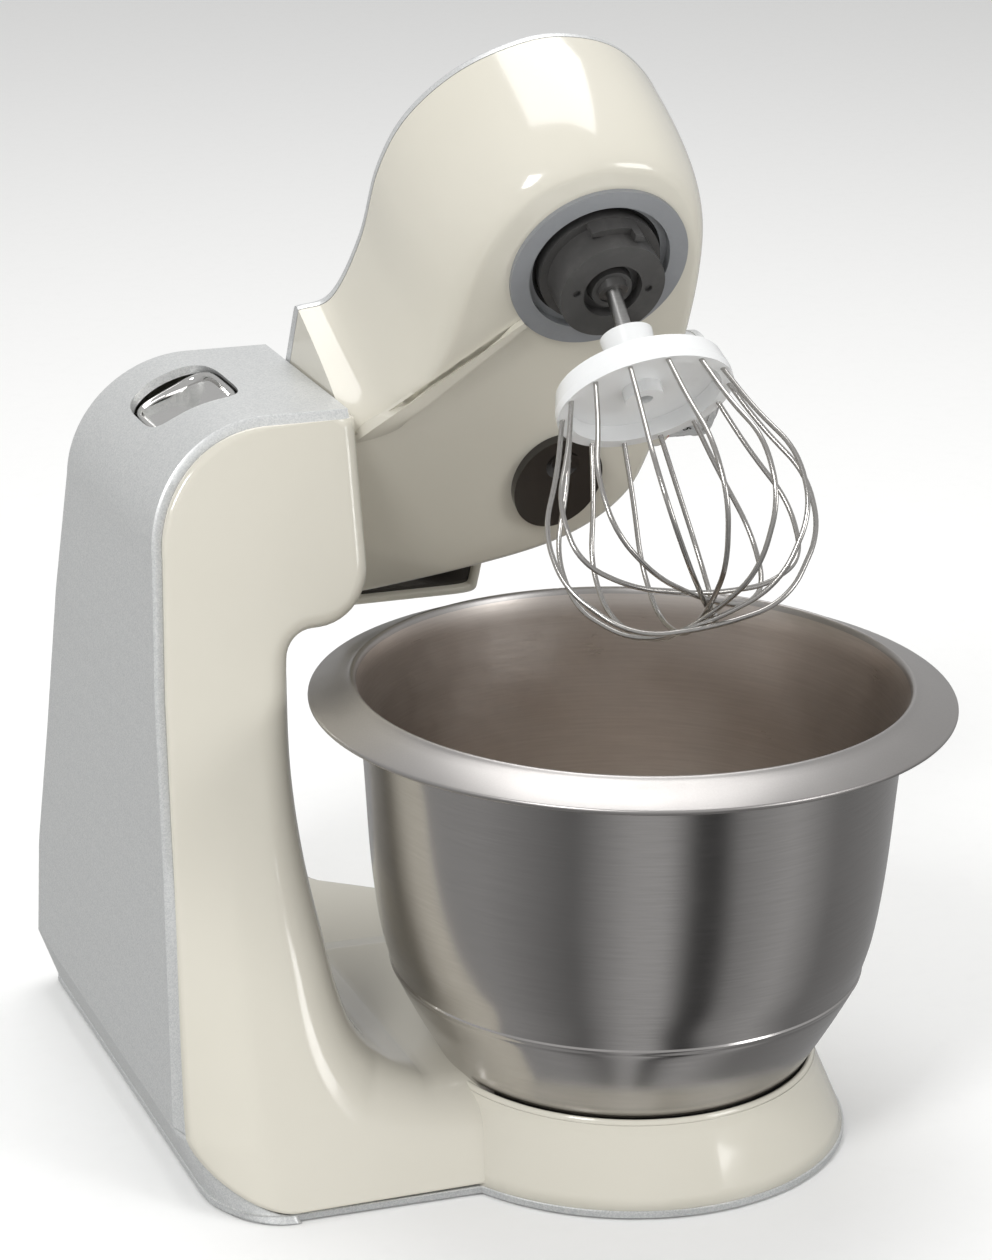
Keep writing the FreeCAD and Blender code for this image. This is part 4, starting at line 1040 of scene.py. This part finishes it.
@dataclass
class Knob:
    """The speed knob's printed numerals."""

    form: ArmForm
    axis_y: float = 86.0
    axis_z: float = 225.0
    radius: float = 19.75
    text_x: float = 57.2
    height: float = 5.2
    steps: int = 7

    def numeral(self, text: str, degrees: float) -> bpy.types.Object:
        """One numeral wrapped on the barrel: its width runs round the axis, its height along it.

        Args:
            text: The numeral.
            degrees: Its place round the barrel.

        Returns:
            The object.
        """
        curve = bpy.data.curves.new("numeral_" + text, "FONT")
        curve.body = text
        curve.align_x = "CENTER"
        curve.size = self.height
        curve.offset = 0.06
        curve.resolution_u = 4
        holder = bpy.data.objects.new("numeral_" + text, curve)
        bpy.context.scene.collection.objects.link(holder)
        graph = bpy.context.evaluated_depsgraph_get()
        mesh = bpy.data.meshes.new_from_object(holder.evaluated_get(graph))
        bpy.data.objects.remove(holder)
        flat = np.zeros(len(mesh.vertices) * 3)
        mesh.vertices.foreach_get("co", flat)
        flat = flat.reshape(-1, 3)
        angle = math.radians(degrees) + flat[:, 0] / self.radius
        points = np.stack([self.text_x + flat[:, 1], self.axis_y - self.radius * np.cos(angle),
                           self.axis_z - self.radius * np.sin(angle)], axis=1)
        mesh.vertices.foreach_set("co", (self.form.raised(points) * MM).ravel())
        mesh.name = "numeral_" + text
        return dressed(mesh, 30.0)

    def build(self) -> None:
        """Makes the numerals round the barrel."""
        for step in range(self.steps):
            piece = self.numeral(str(step + 1), 24.0 * step - 12.0)
            fitted(piece, "knob", INK, "black_plastic")


@dataclass
class Bowl:
    """The steel bowl: spun body, sloping flange, polished lip and pressed shoulder."""

    segments: int = 256

    def outer(self) -> np.ndarray:
        """The outside in (radius, height), from the seat to the flange's root."""
        seat = [(20.0, 25.0), (58.0, 25.0), (62.0, 26.6), (65.2, 29.6), (67.1, 32.3)]
        cone = smooth_curve([(67.1, 32.3), (76.4, 48.4), (83.4, 61.6), (84.6, 64.4)], 14)
        step = [(85.3, 65.3), (85.5, 66.0), (85.2, 66.7)]
        side = smooth_curve([(85.2, 66.7), (89.2, 82), (92.4, 106), (95.0, 140), (97.2, 163), (97.6, 167.4)], 34)
        return np.concatenate([seat, cone[1:], step, side[1:]])

    def flange(self) -> np.ndarray:
        """The flange: under face, rolled outer edge, sloping top and the raised lip."""
        under = [(98.6, 169.4), (100.0, 169.7), (113.2, 164.1)]
        roll = arc(113.6, 165.2, 1.1, -110, 60, 9)
        lip = smooth_curve([(104.0, 170.1), (101.2, 171.4), (99.8, 172.3), (98.8, 172.2), (98.0, 171.0),
                            (97.2, 168.0)], 16)
        return np.concatenate([under, roll, lip])

    def inner(self) -> np.ndarray:
        """The inside, from the lip down to the floor."""
        side = smooth_curve([(96.6, 165.0), (93.8, 140), (91.2, 106), (88.0, 82), (84.2, 66.7)], 30)
        cone = smooth_curve([(84.2, 66.7), (83.0, 64.0), (75.0, 48.4), (66.4, 33.6), (61.5, 28.2),
                             (57.0, 26.2)], 18)
        return np.concatenate([side, cone[1:], [(0.0, 26.2)]])

    def build(self) -> None:
        """Makes the body, whose three zones have their own finishes."""
        outer, flange, inner = self.outer(), self.flange(), self.inner()
        profile = np.concatenate([[(0.0, 25.0)], outer, flange, inner])
        piece = Piece("steel_bowl").grid(revolved(profile, self.segments), wrap=True).build(28.0)
        fitted(piece, "bowl", STEEL_SATIN, "bowl_steel", "bowl")
        for finish in (STEEL_BRUSHED, STEEL_FLANGE):
            piece.data.materials.append(finish.material())
        centres = np.zeros(len(piece.data.polygons) * 3)
        normals = np.zeros(len(piece.data.polygons) * 3)
        piece.data.polygons.foreach_get("center", centres)
        piece.data.polygons.foreach_get("normal", normals)
        centres, normals = centres.reshape(-1, 3) / MM, normals.reshape(-1, 3)
        radius = np.hypot(centres[:, 0], centres[:, 1])
        inside = (centres[:, :2] * normals[:, :2]).sum(axis=1) < 0
        zone = np.where((radius > 99.6) | (centres[:, 2] > 170.5), 2, np.where(inside, 1, 0))
        zone[(radius < 60.0) & (centres[:, 2] > 25.5)] = 1
        piece.data.polygons.foreach_set("material_index", zone.astype(np.int32))


# --------------------------------------------------------------------------
# Carried-over CAD pieces
# --------------------------------------------------------------------------
class CarriedPieces:
    """CAD nodes whose shape is right already: they get their finish only."""

    def slots(self) -> dict[str, str]:
        """Each node's material slot, from the record."""
        return {row["node"]: row["material_slot"] for row in frame["record"]["subparts"]}

    def build(self) -> None:
        """Assigns every CAD node's finish."""
        slots = self.slots()
        for name, piece in frame["nodes"].items():
            finish = NODE_FINISH.get(name) or SLOT_FINISH[slots[name]]
            piece.data.materials.clear()
            piece.data.materials.append(finish.material())
            LOG.info("%s carried over in %s", name, finish.name)


# --------------------------------------------------------------------------
# Studio
# --------------------------------------------------------------------------
@dataclass
class Studio:
    """Pale floor, soft boxes, a lit surround and the camera."""

    eye: tuple[float, float, float] = (-506.81, -1159.74, 620.74)
    azimuth: float = -21.4056
    elevation: float = 18.881
    roll: float = 0.916
    lens: float = 138.01
    sensor: float = 36.0
    surround: float = 1.0

    def floor(self) -> None:
        """A wide disc with a raised rim that fades into the surround."""
        profile = np.array([(0.0, 0.0), (600.0, 0.0), (3000.0, 0.0), (9000.0, 0.0), (12000.0, 90.0)])
        piece = Piece("studio_floor").grid(revolved(profile, 96), wrap=True).build()
        piece.data.materials.append(PAPER.material())
        piece.visible_glossy = False

    def softbox(self, name: str, place: tuple, target: tuple, size: tuple, watts: float) -> None:
        """One rectangular soft box.

        Args:
            name: The light's name.
            place: Where it hangs, in metres.
            target: The point it faces, in metres.
            size: Its width and height in metres.
            watts: Its power.
        """
        light = bpy.data.lights.new(name, "AREA")
        light.shape = "RECTANGLE"
        light.size, light.size_y = size
        light.energy = watts
        holder = bpy.data.objects.new(name, light)
        bpy.context.scene.collection.objects.link(holder)
        holder.location = place
        holder.rotation_euler = (Vector(target) - Vector(place)).to_track_quat("-Z", "Y").to_euler()

    def world(self) -> None:
        """A surround that is white to look at and shaded in reflections: dark low down, bright above."""
        world = bpy.data.worlds.new("studio")
        bpy.context.scene.world = world
        world.use_nodes = True
        tree = world.node_tree
        tree.nodes.clear()
        direction = add_node(tree, "ShaderNodeTexCoord").outputs["Generated"]
        split = add_node(tree, "ShaderNodeSeparateXYZ", {"Vector": direction})
        height = add_node(tree, "ShaderNodeMapRange", {"Value": split.outputs["Z"], "From Min": -0.55,
                                                      "From Max": 0.25, "To Min": 0.05, "To Max": 0.95},
                          interpolation_type="SMOOTHSTEP")
        angle = add_node(tree, "ShaderNodeMath", {0: split.outputs["Y"], 1: split.outputs["X"]},
                         operation="ARCTAN2")
        bands = add_node(tree, "ShaderNodeValToRGB")
        turn = add_node(tree, "ShaderNodeMapRange", {"Value": angle.outputs[0], "From Min": -math.pi,
                                                    "From Max": math.pi, "To Min": 0.0, "To Max": 1.0})
        tree.links.new(turn.outputs["Result"], bands.inputs["Fac"])
        stops = ((0.0, 0.55), (0.12, 0.20), (0.19, 0.75), (0.235, 0.80), (0.27, 0.04), (0.30, 0.03), (0.325, 0.45),
                 (0.40, 0.75), (0.47, 0.30), (0.70, 0.55), (1.0, 0.55))
        ramp = bands.color_ramp
        while len(ramp.elements) < len(stops):
            ramp.elements.new(1.0)
        for element, (place, value) in zip(ramp.elements, stops):
            element.position = place
            element.color = (value, value, value, 1.0)
        shade = add_node(tree, "ShaderNodeMix", {"Factor": height.outputs["Result"],
                                                "A": bands.outputs["Color"], "B": (0.92, 0.92, 0.92, 1.0)},
                         data_type="RGBA")
        lit = add_node(tree, "ShaderNodeBackground", {"Color": shade.outputs["Result"], "Strength": 0.62})
        seen = add_node(tree, "ShaderNodeBackground", {"Color": (1.0, 1.0, 1.0, 1.0), "Strength": self.surround})
        ray = add_node(tree, "ShaderNodeLightPath").outputs["Is Camera Ray"]
        mixed = add_node(tree, "ShaderNodeMixShader", {0: ray, 1: lit.outputs[0], 2: seen.outputs[0]})
        add_node(tree, "ShaderNodeOutputWorld", {"Surface": mixed.outputs[0]})

    def camera(self) -> None:
        """The camera, from its place, direction and roll."""
        a, e, r = (math.radians(v) for v in (self.azimuth, self.elevation, self.roll))
        back = Vector((math.sin(a) * math.cos(e), -math.cos(a) * math.cos(e), math.sin(e)))
        right = Vector((math.cos(a), math.sin(a), 0.0))
        up = back.cross(right)
        side = right * math.cos(r) + up * math.sin(r)
        top = up * math.cos(r) - right * math.sin(r)
        data = bpy.data.cameras.new("camera")
        data.sensor_fit = "HORIZONTAL"
        data.sensor_width = self.sensor
        data.lens = self.lens
        data.clip_start = 0.05
        holder = bpy.data.objects.new("camera", data)
        bpy.context.scene.collection.objects.link(holder)
        rotation = Matrix((side, top, back)).transposed().to_4x4()
        holder.matrix_world = Matrix.Translation(Vector(self.eye) * MM) @ rotation
        bpy.context.scene.camera = holder

    def build(self) -> None:
        """Sets up floor, lights, surround and camera."""
        self.floor()
        self.world()
        self.camera()
        self.softbox("key_box", (-1.3, -1.1, 1.7), (-0.05, 0.05, 0.2), (0.5, 0.7), 20.0)
        self.softbox("fill_box", (1.2, -1.5, 0.9), (0.0, 0.05, 0.2), (0.6, 0.8), 8.0)
        self.softbox("top_box", (0.2, 0.6, 2.0), (0.0, 0.05, 0.2), (1.2, 1.2), 16.0)
        scene = bpy.context.scene
        scene.view_settings.view_transform = "Standard"


def main() -> None:
    """Builds every sub-assembly in order and reports each piece."""
    logging.basicConfig(level=logging.INFO, format="%(name)s %(message)s")
    CarriedPieces().build()
    tower = TowerForm()
    Casing(tower).build()
    Band(tower).build()
    BaseStrip(tower).build()
    Button().build()
    arm = ArmForm()
    ArmShell(arm).build()
    Knob(arm).build()
    Bowl().build()
    Studio().build()


if __name__ == "__main__":
    main()
